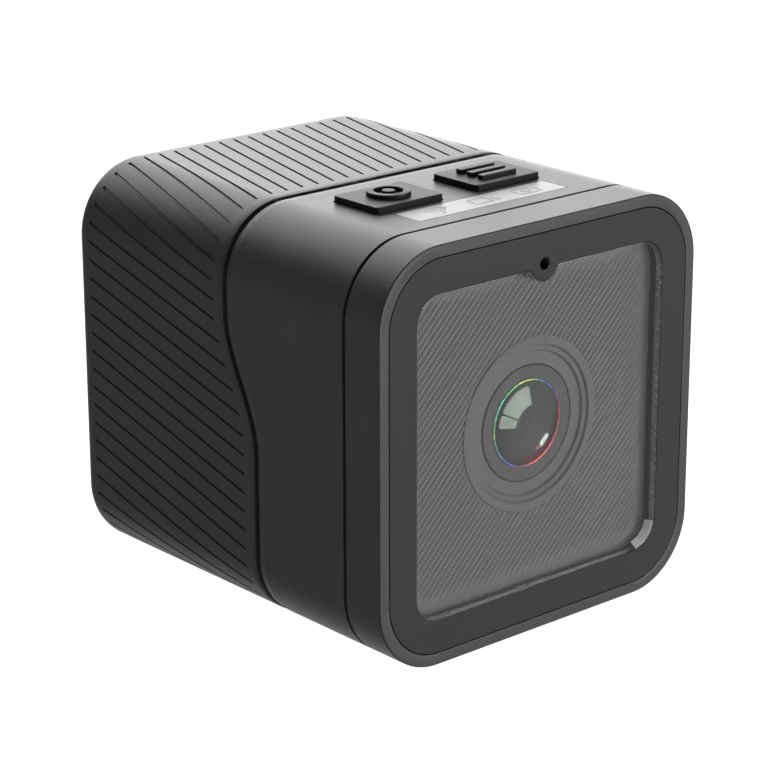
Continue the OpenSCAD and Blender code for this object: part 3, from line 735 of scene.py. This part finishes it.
def make_bezel():
    """Square ring with a fine rounded front edge and a deep pocket for the frame."""
    edge, rear_edge, lip = 0.15 * MM, 0.05 * MM, 0.08 * MM
    rear_y = BODY_LOW.y - 0.3 * MM
    pocket, pocket_r = FRAME_HALF + 0.07 * MM, FRAME_R + 0.07 * MM
    floor_y = FRAME_HIGH.y - 1.6 * MM + 0.1 * MM
    opening, opening_r = WINDOW_HALF + 0.55 * MM, WINDOW_R + 0.4 * MM
    spigot, spigot_r = HALF - 1.7 * MM, EDGE_R - 1.7 * MM
    profile = []
    for i in range(7):
        a = TAU / 4 * i / 6
        profile.append((FRONT_Y + edge * (1 - math.sin(a)), HALF - edge * (1 - math.cos(a)),
                        EDGE_R - edge * (1 - math.cos(a))))
    profile.reverse()
    profile += [
        (rear_y - rear_edge, HALF, EDGE_R),
        (rear_y, HALF - rear_edge, EDGE_R - rear_edge),
        (rear_y, spigot, spigot_r),
        (BEZEL_HIGH.y, spigot, spigot_r),
        (BEZEL_HIGH.y, spigot - 1.7 * MM, spigot_r - 1.7 * MM),
        (rear_y - 0.1 * MM, spigot - 1.7 * MM, spigot_r - 1.7 * MM),
        (rear_y - 0.1 * MM, opening, opening_r),
        (floor_y, opening, opening_r),
        (floor_y, pocket, pocket_r),
        (FRONT_Y + lip, pocket, pocket_r),
        (FRONT_Y + lip * 0.3, pocket + lip * 0.3, pocket_r + lip * 0.3),
        (FRONT_Y, pocket + lip, pocket_r + lip),
    ]
    bezel = square_rings("bezel_shell", profile, arc_steps=28)
    dress(bezel, "camera", "housing_plastic", "front_bezel")


def make_window_frame():
    """Opaque frame with its window opening and the microphone hole."""
    thickness = 1.5 * MM
    outer = round_rect(2 * FRAME_HALF, 2 * FRAME_HALF, FRAME_R, 24)
    loops = [outer, window_outline(), circle(MIC_R, 48, (0, MIC_UP))]
    place = Vector((0, FRONT_Y + thickness / 2, MID_Z))
    piece = plate("window_frame", loops, thickness, 0.06 * MM, place, FACE_FRONT)
    dress(piece, "camera", "frame_plastic", "front_frame")


def make_window_pane():
    """Clear block that fills the opening, flush with the frame."""
    thickness = PANE_HIGH.y - PANE_LOW.y
    place = Vector((0, PANE_LOW.y + thickness / 2, MID_Z))
    outline = window_outline(0.03 * MM)
    piece = plate("window_pane", [outline], thickness, 0.05 * MM, place, FACE_FRONT)
    dress(piece, "camera", "window_clear", "window_glass")


def make_pane_corner():
    """Three pale facets in the pane's lower right corner, a painted highlight for the reflection in
    the glass corner.
    """
    thick = 0.04 * MM
    near, far = WINDOW_R - 0.1 * MM, WINDOW_R - 0.6 * MM
    centre = WINDOW_HALF - WINDOW_R
    low, high = PANE_LOW.y + 0.12 * MM, PANE_HIGH.y - 0.06 * MM
    bm = bmesh.new()
    rings = []
    for extra in (0, thick):
        for radius, y in ((near, low), (far, high)):
            points = arc(radius + extra, -82, -8, 3, (centre, -centre))
            rings.append(add_ring(bm, [(x, y, MID_Z + up) for x, up in points]))
    inner_front, inner_back, outer_front, outer_back = rings
    around = (inner_front, inner_back, outer_back, outer_front)
    for ring_a, ring_b in zip(around, around[1:] + around[:1]):
        bridge(bm, ring_a, ring_b, closed=False)
    for end in (0, -1):
        bm.faces.new([ring[end] for ring in around])
    piece = finish_mesh("pane_corner_painted_highlight_facets", bm, 5.0, weighted=False)
    piece.data.materials.append(MATERIALS["pane_corner_highlight_paint"])
    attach(piece, "camera")


RIB_PITCH = 0.58 * MM
RIB_DEPTH = 0.2 * MM


def make_ribbed_plate():
    """Plate with fine ribs at 45 degrees that fade out near its border, open for the lens."""
    half, radius = WINDOW_HALF + 0.35 * MM, WINDOW_R + 0.3 * MM
    hole = 8.35 * MM
    fade_start, fade_end = 1.0 * MM, 2.2 * MM
    crest_y = PLATE_LOW.y - 0.1 * MM

    def inside(x, up):
        """Distance in from the outline; negative outside."""
        dx, dz = abs(x) - (half - radius), abs(up) - (half - radius)
        if dx > 0 and dz > 0:
            return radius - math.hypot(dx, dz)
        return radius - max(dx, dz)

    def edge_at(v):
        """Where a line of constant v leaves the outline, along the ribs."""
        low, high = 0.0, 2 * half
        for _ in range(40):
            u = (low + high) / 2
            x, up = (u - v) / math.sqrt(2), (u + v) / math.sqrt(2)
            low, high = (u, high) if inside(x, up) > 0 else (low, u)
        return low

    def surface(u, v):
        x, up = (u - v) / math.sqrt(2), (u + v) / math.sqrt(2)
        depth_in = max(0.0, inside(x, up))
        fade = smooth_step((depth_in - fade_start) / (fade_end - fade_start))
        wave = 0.5 - 0.5 * math.cos(TAU * v / RIB_PITCH)
        groove = RIB_DEPTH * fade * wave
        return (x, crest_y + groove, MID_Z + up)

    reach = half * math.sqrt(2) - radius * (math.sqrt(2) - 1)
    columns = int(2 * reach / (RIB_PITCH / 6))
    near_edge = [d * MM for d in (0, 0.1, 0.25, 0.45, 0.75, 1.1, 1.5, 1.95, 2.3, 2.7, 3.2, 3.8)]
    inner_rows = 90
    bm = bmesh.new()
    previous = None
    for c in range(columns + 1):
        v = reach * (2 * c / columns - 1)
        v = max(-reach + 0.01 * MM, min(reach - 0.01 * MM, v))
        outer = edge_at(v)
        scale = min(1.0, outer / (near_edge[-1] * 1.2))
        ends = [outer - d * scale for d in near_edge]
        inner = [ends[-1] * (1 - 2 * i / inner_rows) for i in range(1, inner_rows)]
        places = ends + inner + [-u for u in reversed(ends)]
        column = [bm.verts.new(surface(u, v)) for u in places]
        if previous:
            bridge(bm, previous, column, closed=False)
        previous = column
    hidden = [
        face for face in bm.faces
        if all(math.hypot(vert.co.x, vert.co.z - MID_Z) < hole for vert in face.verts)
    ]
    bmesh.ops.delete(bm, geom=hidden, context="FACES")
    bmesh.ops.remove_doubles(bm, verts=bm.verts, dist=0.002 * MM)
    rim = [e for e in bm.edges if e.is_boundary]
    made = bmesh.ops.extrude_edge_only(bm, edges=rim)["geom"]
    for item in made:
        if isinstance(item, bmesh.types.BMVert):
            item.co.y = PLATE_HIGH.y
    piece = finish_mesh("ribbed_backplate", bm, 50.0, weighted=False)
    dress(piece, "camera", "plate_plastic", "ribbed_plate")


def make_baffle():
    """Stepped ring round the lens, each step with a softly rounded edge."""
    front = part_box("lens_baffle")[0].y
    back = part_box("lens_baffle")[1].y
    step, soft = 0.26 * MM, 0.09 * MM
    profile = [
        (5.7 * MM, back),
        (5.7 * MM, front + 2 * step + soft),
        (5.7 * MM + soft, front + 2 * step),
        (7.0 * MM - soft, front + 2 * step),
        (7.0 * MM, front + 2 * step - soft),
        (7.0 * MM, front + step + soft),
        (7.0 * MM + soft, front + step),
        (7.6 * MM - soft, front + step),
        (7.6 * MM, front + step - soft),
        (7.6 * MM, front + soft),
        (7.6 * MM + soft, front),
        (8.5 * MM - soft, front),
        (8.5 * MM, front + soft),
        (8.5 * MM, PLATE_LOW.y + 0.1 * MM),
        (8.0 * MM, PLATE_LOW.y + 0.1 * MM),
        (8.0 * MM, back),
    ]
    piece = lathe("stepped_baffle", profile, 160)
    dress(piece, "camera", "baffle_plastic", "lens_baffle")


def make_lens_ring():
    """Ring that holds the front glass, with a bevelled bore."""
    low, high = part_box("lens_retaining_ring")
    soft = 0.06 * MM
    profile = [
        (4.27 * MM, high.y),
        (4.27 * MM, low.y + 0.08 * MM),
        (4.35 * MM, low.y),
        (5.6 * MM - soft, low.y),
        (5.6 * MM, low.y + soft),
        (5.6 * MM, high.y),
    ]
    piece = lathe("glass_ring", profile, 160, 25.0)
    dress(piece, "camera", "lens_metal", "lens_retaining_ring")


def make_front_glass():
    """Front glass with its bulge, hollow back and coated rim."""
    low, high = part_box("lens_front_element")
    hollow = 40.0 * MM
    hollow_depth = 0.1 * MM
    hollow_r = math.sqrt(hollow ** 2 - (hollow - hollow_depth) ** 2)
    profile = []
    steps = 24
    for i in range(steps + 1):
        r = GLASS_R * i / steps
        profile.append((r, low.y + GLASS_CURVE - math.sqrt(GLASS_CURVE ** 2 - r * r)))
    profile.append((GLASS_R, high.y))
    for i in range(steps + 1):
        r = hollow_r * (1 - i / steps)
        profile.append((r, high.y - hollow_depth + hollow - math.sqrt(hollow ** 2 - r * r)))
    piece = lathe("front_glass", profile, 160, 30.0, weighted=False)
    dress(piece, "camera", "lens_glass", "lens_front_element")
    rim_r, tube = 4.19 * MM, 0.07 * MM
    rim_y = low.y + GLASS_BULGE - 0.02 * MM
    ring = [
        (rim_r + tube * math.cos(TAU * i / 12), rim_y + tube * math.sin(TAU * i / 12))
        for i in range(12)
    ]
    # the rim's material paints the coating's rainbow reflection
    rim = lathe("glass_rim", ring, 160, 80.0, weighted=False)
    rim.data.materials.append(MATERIALS["lens_rim_painted_sheen"])
    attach(rim, "camera")


make_bezel()
make_window_frame()
make_window_pane()
make_pane_corner()
make_ribbed_plate()
make_baffle()
make_lens_ring()
make_front_glass()


# ---------------------------------------------------------------- front housing

def perimeter_point(s, inset=0.0):
    """Point (x, up) at a distance round the body, from the top left corner down the left side."""
    corner, flat = EDGE_R * TAU / 4, 2 * (HALF - EDGE_R)
    s = s % (4 * (corner + flat))
    quarter = int(s // (corner + flat))
    t = s - quarter * (corner + flat)
    reach = HALF - EDGE_R
    radius = EDGE_R - inset
    if t < corner:
        a = t / EDGE_R
        x, up = -reach - radius * math.sin(a), reach + radius * math.cos(a)
    else:
        x, up = -HALF + inset, reach - (t - corner)
    for _ in range(quarter):
        x, up = -up, x
    return x, up


PERIMETER = 4 * (EDGE_R * TAU / 4 + 2 * (HALF - EDGE_R))


KEY_W, KEY_D, KEY_R = 8.25 * MM, 6.35 * MM, 0.5 * MM
KEY_GAP = 0.12 * MM
KEYS = ("ok_button", "mode_button")


def key_centre(node):
    """Middle of a key seen from above."""
    low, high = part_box(node)
    return Vector(((low.x + high.x) / 2, (low.y + high.y) / 2, 0))


STRIP_LOW, STRIP_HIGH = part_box("status_strip")
HOUSING_SHARP = 5.0


def make_housing():
    """Front housing: straight front edge, wave-shaped rear edge that falls away in two slopes."""
    columns = 320
    wall = 1.6 * MM
    # the rear edge falls away in two slopes: distance before the seam, depth below the surface
    slopes = [(1.15 * MM, 0.0), (0.4 * MM, 0.09 * MM), (0.0, 0.27 * MM)]
    front_soft = 0.05 * MM
    bm = bmesh.new()
    rings = []

    def ring(y_of, inset):
        points = []
        for c in range(columns):
            s = PERIMETER * c / columns
            x, up = perimeter_point(s, inset)
            edge_up = perimeter_point(s, 0.0)[1]
            points.append((x, y_of(edge_up), MID_Z + up))
        rings.append(add_ring(bm, points))

    def seam_y_before(distance):
        return lambda up: seam_y(up) - distance

    front = BODY_LOW.y + 0.05 * MM
    ring(lambda up: front, wall)
    ring(lambda up: front, front_soft)
    ring(lambda up: front + front_soft * 0.3, front_soft * 0.3)
    ring(lambda up: front + front_soft, 0.0)
    for share in (0.33, 0.66):
        ring(lambda up, k=share: front + (seam_y(up) - slopes[0][0] - front) * k, 0.0)
    for distance, drop in slopes:
        ring(seam_y_before(distance), drop)
    ring(seam_y, wall)
    for ring_a, ring_b in zip(rings, rings[1:]):
        bridge(bm, ring_a, ring_b)
    bridge(bm, rings[-1], rings[0])
    shell = finish_mesh("housing_shell", bm, HOUSING_SHARP)

    cutters = []
    for node in KEYS:
        centre = key_centre(node)
        loop = round_rect(KEY_W + 2 * KEY_GAP, KEY_D + 2 * KEY_GAP, KEY_R + KEY_GAP, 8, centre.xy)
        cutters.append(prism("key_cutter", loop, TOP_Z - 3 * MM, TOP_Z + 1 * MM))
    gap = 0.07 * MM
    middle = ((STRIP_LOW.x + STRIP_HIGH.x) / 2, (STRIP_LOW.y + STRIP_HIGH.y) / 2)
    width, depth = STRIP_HIGH.x - STRIP_LOW.x + 2 * gap, STRIP_HIGH.y - STRIP_LOW.y + 2 * gap
    loop = round_rect(width, depth, 0.15 * MM, 4, middle)
    cutters.append(prism("strip_cutter", loop, TOP_Z - 0.85 * MM, TOP_Z + 1 * MM))
    insert_low, insert_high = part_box("tripod_insert")
    hole = circle(4.5 * MM, 64, (0, (insert_low.y + insert_high.y) / 2))
    cutters.append(prism("insert_cutter", hole, -1 * MM, 4 * MM))
    cut(shell, *cutters, sharp=HOUSING_SHARP)
    dress(shell, "camera", "housing_plastic", "main_body")


make_housing()


# ---------------------------------------------------------------- keys and status strip

def make_key(node, body, symbols):
    """Key cap with crisp edges and its raised symbol."""
    low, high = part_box(node)
    centre = key_centre(node)
    rise = 0.6 * MM
    cap_z, cap_h = TOP_Z + rise, 2.2 * MM
    place = Vector((centre.x, centre.y, cap_z - cap_h / 2))
    outline = round_rect(KEY_W, KEY_D, KEY_R)
    cap = plate(node.replace("button", "key_cap"), [outline], cap_h, 0.07 * MM, place)
    dress(cap, body, "key_plastic", node)
    sunk = 0.1 * MM
    height = high.z - cap_z + sunk
    for index, loops in enumerate(symbols):
        middle = Vector((centre.x, centre.y, high.z - height / 2))
        name = f"{node.replace('button', 'key_symbol')}_{index}"
        mark = plate(name, loops, height, 0.03 * MM, middle)
        dress(mark, body, "key_plastic")


def make_keys():
    """Shutter key with a ring and a dot, and mode key with three bars."""
    ring = [circle(2.1 * MM), circle(1.4 * MM)]
    dot = [circle(0.6 * MM, 40)]
    make_key("ok_button", "ok_key", [ring, dot])
    bars = [
        [round_rect(4.4 * MM, 0.75 * MM, 0.08 * MM, 3, (0, row * 1.5 * MM))] for row in (-1, 0, 1)
    ]
    make_key("mode_button", "mode_key", bars)


def make_strip():
    """Silver strip, flush with the top, in a fine dark surround."""
    middle = Vector(((STRIP_LOW.x + STRIP_HIGH.x) / 2, (STRIP_LOW.y + STRIP_HIGH.y) / 2, 0))
    width, depth = STRIP_HIGH.x - STRIP_LOW.x, STRIP_HIGH.y - STRIP_LOW.y
    thickness = 0.8 * MM
    place = Vector((middle.x, middle.y, TOP_Z - thickness / 2))
    outline = round_rect(width, depth, 0.12 * MM, 4)
    piece = plate("status_window", [outline], thickness, 0.03 * MM, place)
    dress(piece, "camera", "strip_plastic", "status_strip")
    return middle


def stroke(points, width):
    """Outline of a line of constant width through (u, v) points."""
    left, right = [], []
    for i, (u, v) in enumerate(points):
        before, after = points[max(0, i - 1)], points[min(len(points) - 1, i + 1)]
        run = Vector((after[0] - before[0], after[1] - before[1])).normalized()
        left.append((u - run.y * width / 2, v + run.x * width / 2))
        right.append((u + run.y * width / 2, v - run.x * width / 2))
    return left + right[::-1]


def make_pictograms(middle):
    """Three printed signs on the strip: radio waves, moving picture, still picture."""
    thick, line = 0.02 * MM, 0.17 * MM
    pitch = 5.5 * MM
    waves = [[circle(0.24 * MM, 24, (0, -0.75 * MM))]]
    for radius in (0.75, 1.25, 1.75):
        points = arc(radius * MM, 40, 140, 14, (0, -0.75 * MM))
        waves.append([stroke(points, line)])
    film = [
        [round_rect(2.3 * MM, 1.7 * MM, 0.25 * MM, 4, (-0.35 * MM, 0)),
         round_rect(1.95 * MM, 1.35 * MM, 0.12 * MM, 4, (-0.35 * MM, 0))],
        [[(1.0 * MM, -0.3 * MM), (1.7 * MM, -0.75 * MM),
          (1.7 * MM, 0.75 * MM), (1.0 * MM, 0.3 * MM)]],
    ]
    still = [
        [round_rect(2.8 * MM, 1.9 * MM, 0.3 * MM, 4),
         round_rect(2.45 * MM, 1.55 * MM, 0.15 * MM, 4)],
        [circle(0.6 * MM, 32), circle(0.43 * MM, 32)],
        [round_rect(0.9 * MM, 0.3 * MM, 0.08 * MM, 3, (0, 1.08 * MM))],
    ]
    for place, (name, signs) in enumerate([("radio", waves), ("film", film), ("still", still)]):
        for index, loops in enumerate(signs):
            at = Vector((middle.x + (place - 1) * pitch, middle.y, TOP_Z + thick / 2))
            mark = plate(f"sign_{name}_{index}", loops, thick, 0.004 * MM, at)
            dress(mark, "camera", "symbol_grey")


make_keys()
make_pictograms(make_strip())


# ---------------------------------------------------------------- grip cover

GROOVES = 79
GROOVE_SLOPE = 0.27
GROOVE_PHASE = 5.725 * MM
GROOVE_DEPTH = 0.17 * MM
GROOVE_LAND = 1.5 * MM
GROOVE_BACK = 2.2 * MM


def make_cover():
    """Cover with slanted grooves that run round all four sides, and a rounded back edge."""
    pitch = PERIMETER / GROOVES
    wall, back_wall = 1.8 * MM, 2.0 * MM
    edge, lip = 1.5 * MM, 0.08 * MM
    groove_end = BACK_Y - GROOVE_BACK
    # place across one pitch, and whether the groove's floor is there
    across = [
        (-0.16, 0), (-0.105, 1), (0.105, 1), (0.16, 0), (0.4, 0), (0.75, 0), (1.1, 0), (1.45, 0),
    ]
    columns = [
        (GROOVE_PHASE + i * pitch + offset * MM, floor)
        for i in range(GROOVES) for offset, floor in across
    ]

    def front_edge(u):
        """Distance round the body and place along Y where a column meets the seam."""
        y = SEAM_TOP_Y + SEAM_GAP
        for _ in range(12):
            s = u + GROOVE_SLOPE * (groove_end - y)
            y = seam_y(perimeter_point(s)[1]) + SEAM_GAP
        return s, y

    def point(u, y, inset):
        s = u + GROOVE_SLOPE * (groove_end - y)
        x, up = perimeter_point(s, inset)
        return (x, y, MID_Z + up)

    starts = [front_edge(u)[1] for u, _ in columns]
    bm = bmesh.new()
    rings = []

    def ring(y_of, inset_of):
        rings.append(add_ring(bm, [
            point(u, y_of(start), inset_of(floor)) for (u, floor), start in zip(columns, starts)
        ]))

    inner_y = BACK_Y - back_wall
    ring(lambda start: inner_y, lambda floor: wall)
    for share in (0.25, 0.5, 0.75):
        ring(lambda start, k=share: inner_y + (start - inner_y) * k, lambda floor: wall)
    ring(lambda start: start, lambda floor: wall)
    ring(lambda start: start, lambda floor: lip)
    ring(lambda start: start + lip * 0.3, lambda floor: lip * 0.3)
    ring(lambda start: start + lip, lambda floor: 0.0)
    ring(lambda start: start + GROOVE_LAND * 0.6, lambda floor: 0.0)
    ring(lambda start: start + GROOVE_LAND, lambda floor: 0.0)
    steps = 26
    soft = 0.05 * MM
    for i in range(steps + 1):
        share = i / steps
        ring(
            lambda start, k=share: start + GROOVE_LAND + soft
            + (groove_end - soft - start - GROOVE_LAND - soft) * k,
            lambda floor: GROOVE_DEPTH * floor,
        )
    ring(lambda start: groove_end, lambda floor: 0.0)
    for i in range(9):
        a = TAU / 4 * i / 8
        ring(
            lambda start, k=math.sin(a): BACK_Y - edge * (1 - k),
            lambda floor, k=math.cos(a): edge * (1 - k),
        )
    for ring_a, ring_b in zip(rings, rings[1:]):
        bridge(bm, ring_a, ring_b)
    bm.faces.new(rings[0])
    bm.faces.new(rings[-1])
    cover = finish_mesh("grip_cover", bm, 40.0)
    dress(cover, "cover", "grip_plastic", "rear_cover")


make_cover()


# ---------------------------------------------------------------- underside and inner body

def make_tripod_insert():
    """Brass bush with a chamfered mouth and a real screw thread."""
    low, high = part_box("tripod_insert")
    centre = ((low.x + high.x) / 2, (low.y + high.y) / 2)
    minor, major, pitch = 2.6 * MM, 3.1 * MM, 1.27 * MM
    outer, chamfer = (high.x - low.x) / 2, 0.15 * MM
    profile = [
        (major + 0.25 * MM, low.z),
        (outer - chamfer, low.z),
        (outer, low.z + chamfer),
        (outer, high.z),
        (major, high.z),
        (major, low.z + 0.25 * MM),
    ]
    bush = lathe("tripod_bush", profile, 96, centres=(centre,), upright=True)
    dress(bush, "camera", "insert_brass", "tripod_insert")
    steps, turns = 48, (high.z - low.z - 0.6 * MM) / pitch
    bm = bmesh.new()
    previous = None
    for i in range(int(steps * turns) + 1):
        angle = TAU * i / steps
        z = low.z + 0.3 * MM + pitch * i / steps
        root = major + 0.05 * MM
        section = [(root, -0.5), (minor, -0.08), (minor, 0.08), (root, 0.5)]
        ring = add_ring(bm, [
            (centre[0] + r * math.cos(angle), centre[1] + r * math.sin(angle), z + k * pitch * 0.9)
            for r, k in section
        ])
        if previous:
            bridge(bm, previous, ring)
        else:
            bm.faces.new(ring)
        previous = ring
    bm.faces.new(previous)
    for vert in bm.verts:
        vert.co.z = max(low.z + 0.02 * MM, min(high.z - 0.02 * MM, vert.co.z))
    thread = finish_mesh("tripod_thread_ridge", bm, 30.0, weighted=False)
    dress(thread, "camera", "insert_brass")


def make_cover_seal():
    """Round-backed seal that stands a little proud of its groove in the inner body."""
    low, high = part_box("cover_seal")
    half, middle = high.x, (low.y + high.y) / 2
    radius, width = 5.2 * MM, (high.y - low.y) / 2
    thick = 0.78 * MM
    profile = []
    for i in range(13):
        a = math.pi * i / 12
        profile.append((middle - width * math.cos(a), half - thick / 2 * (1 - math.sin(a)),
                        radius - thick / 2 * (1 - math.sin(a))))
    profile += [(high.y, half - thick, radius - thick), (low.y, half - thick, radius - thick)]
    seal = square_rings("cover_o_ring", profile, sharp=50.0)
    dress(seal, "camera", "seal_rubber", "cover_seal")


PANEL_LOW, PANEL_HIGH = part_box("rear_panel")
CARD_LOW, CARD_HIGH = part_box("memory_card")
USB_LOW, USB_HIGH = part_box("usb_port")
SCREW_PLACES = [
    (-14.6 * MM, -0.8 * MM), (14.6 * MM, -0.8 * MM), (-7 * MM, 14.7 * MM), (7 * MM, 14.7 * MM),
]


def make_rear_panel():
    """Rear wall of the inner body with its card slot, thumb recess, port opening and screw seats."""
    half, radius = PANEL_HIGH.x, 5.1 * MM
    thickness = PANEL_HIGH.y - PANEL_LOW.y
    place = Vector((0, PANEL_LOW.y + thickness / 2, MID_Z))
    outline = round_rect(2 * half, 2 * half, radius, 20)
    panel = plate("rear_wall", [outline], thickness, 0.12 * MM, place, FACE_FRONT)
    front, back = PANEL_LOW.y - 1 * MM, PANEL_HIGH.y + 1 * MM
    card = ((CARD_LOW.x + CARD_HIGH.x) / 2, (CARD_LOW.z + CARD_HIGH.z) / 2 - MID_Z)
    port = ((USB_LOW.x + USB_HIGH.x) / 2, (USB_LOW.z + USB_HIGH.z) / 2 - MID_Z)
    slot = round_rect(11.8 * MM, 1.3 * MM, 0.3 * MM, 4, card)
    recess = round_rect(8 * MM, 4 * MM, 1.2 * MM, 8, card)
    opening = round_rect(8.2 * MM, 3.3 * MM, 1.2 * MM, 8, port)
    cutters = [
        prism("slot_cutter", slot, front, back, upright=False),
        prism("recess_cutter", recess, PANEL_HIGH.y - 0.8 * MM, back, upright=False),
        prism("port_cutter", opening, front, back, upright=False),
    ]
    for at in SCREW_PLACES:
        seat = circle(1.5 * MM, 40, at)
        cutters.append(prism("seat_cutter", seat, PANEL_HIGH.y - 0.7 * MM, back, upright=False))
    cut(panel, *cutters)
    dress(panel, "camera", "housing_plastic", "rear_panel")


def make_panel_screws():
    """Four small pan-head screws with a cross recess."""
    seat = PANEL_HIGH.y - 0.7 * MM
    top = seat + 0.65 * MM
    profile = [
        (0.0, seat - 4 * MM),
        (0.75 * MM, seat - 3.6 * MM),
        (0.75 * MM, seat),
        (1.45 * MM, seat),
        (1.45 * MM, top - 0.3 * MM),
        (1.36 * MM, top - 0.14 * MM),
        (1.15 * MM, top - 0.04 * MM),
        (0.8 * MM, top),
        (0.0, top),
    ]
    screws = lathe("panel_screw_set", profile, 40, 40.0, centres=SCREW_PLACES)
    arm, width = 0.75 * MM, 0.26 * MM
    cutters = []
    for u, v in SCREW_PLACES:
        cross = [
            (arm, width), (width, width), (width, arm), (-width, arm), (-width, width),
            (-arm, width), (-arm, -width), (-width, -width), (-width, -arm), (width, -arm),
            (width, -width), (arm, -width),
        ]
        loop = [(u + x / 1.4, v + y / 1.4) for x, y in cross]
        cutters.append(prism("cross_cutter", loop, top - 0.4 * MM, top + 1 * MM, upright=False))
    cut(screws, *cutters, sharp=40.0)
    dress(screws, "camera", "steel_plain", "panel_screws")


def make_port():
    """Round-cornered metal shell with its tongue."""
    width, height = USB_HIGH.x - USB_LOW.x, USB_HIGH.z - USB_LOW.z
    depth = USB_HIGH.y - USB_LOW.y
    centre_x, up = (USB_LOW.x + USB_HIGH.x) / 2, (USB_LOW.z + USB_HIGH.z) / 2 - MID_Z
    place = Vector((centre_x, USB_LOW.y + depth / 2, MID_Z + up))
    wall = 0.35 * MM
    loops = [
        round_rect(width, height, 1.1 * MM),
        round_rect(width - 2 * wall, height - 2 * wall, 0.8 * MM),
    ]
    shell = plate("port_shell", loops, depth, 0.05 * MM, place, FACE_FRONT)
    dress(shell, "camera", "socket_steel", "usb_port")
    inside = [round_rect(width - wall, height - wall, 0.9 * MM)]
    back_place = place - Vector((0, depth / 2 - 0.5 * MM, 0))
    back = plate("port_back", inside, 0.6 * MM, 0.02 * MM, back_place, FACE_FRONT)
    dress(back, "camera", "chip_black")
    tongue_place = place + Vector((0, -0.3 * MM, 0.2 * MM))
    outline = round_rect(4 * MM, depth - 1.6 * MM, 0.2 * MM)
    tongue = plate("port_tongue", [outline], 0.5 * MM, 0.05 * MM, tongue_place)
    dress(tongue, "camera", "chip_black")
    contact = 0.32 * MM
    strips = [
        round_rect(contact, depth - 2.4 * MM, 0.05 * MM, 2, (i * 0.65 * MM, 0.15 * MM))
        for i in (-2, -1, 0, 1, 2)
    ]
    lift = Vector((0, 0, 0.25 * MM))
    for index, strip in enumerate(strips):
        pad = plate(f"port_contact_{index}", [strip], 0.03 * MM, 0.005 * MM, tongue_place + lift)
        dress(pad, "camera", "insert_brass")


def make_card():
    """Memory card with its notched side and the raised lip at the end that is pushed."""
    half, length = (CARD_HIGH.x - CARD_LOW.x) / 2, CARD_HIGH.y - CARD_LOW.y
    thickness = CARD_HIGH.z - CARD_LOW.z
    middle = (CARD_LOW + CARD_HIGH) / 2
    body_t = thickness - 0.1 * MM
    end = length / 2
    outline = [
        (-half, end), (-half, -end + 0.8 * MM), (-half + 0.8 * MM, -end),
        (half - 1.9 * MM, -end), (half - 1.3 * MM, -end + 0.6 * MM),
        (half - 1.3 * MM, -end + 5 * MM), (half, -end + 6.3 * MM), (half, -end + 7.6 * MM),
        (half - 0.5 * MM, -end + 7.9 * MM), (half - 0.5 * MM, -end + 8.8 * MM),
        (half, -end + 9.2 * MM), (half, end),
    ]
    place = Vector((middle.x, middle.y, CARD_LOW.z + body_t / 2))
    body = plate("card_body", [outline], body_t, 0.06 * MM, place)
    dress(body, "card", "card_black", "memory_card")
    lip = round_rect(2 * half - 0.6 * MM, 1.2 * MM, 0.3 * MM, 4)
    place = Vector((middle.x, CARD_HIGH.y - 0.7 * MM, CARD_HIGH.z - 0.15 * MM))
    dress(plate("card_lip", [lip], 0.3 * MM, 0.05 * MM, place), "card", "card_black")
    for index in range(8):
        pad = round_rect(0.8 * MM, 2.8 * MM, 0.15 * MM, 3)
        across = CARD_LOW.x + (1.0 + 1.1 * index) * MM
        place = Vector((across, CARD_LOW.y + 2 * MM, CARD_LOW.z + 0.005 * MM))
        contact = plate(f"card_pad_{index}", [pad], 0.03 * MM, 0.005 * MM, place)
        dress(contact, "card", "insert_brass")


make_tripod_insert()
make_cover_seal()
make_rear_panel()
make_panel_screws()
make_port()
make_card()
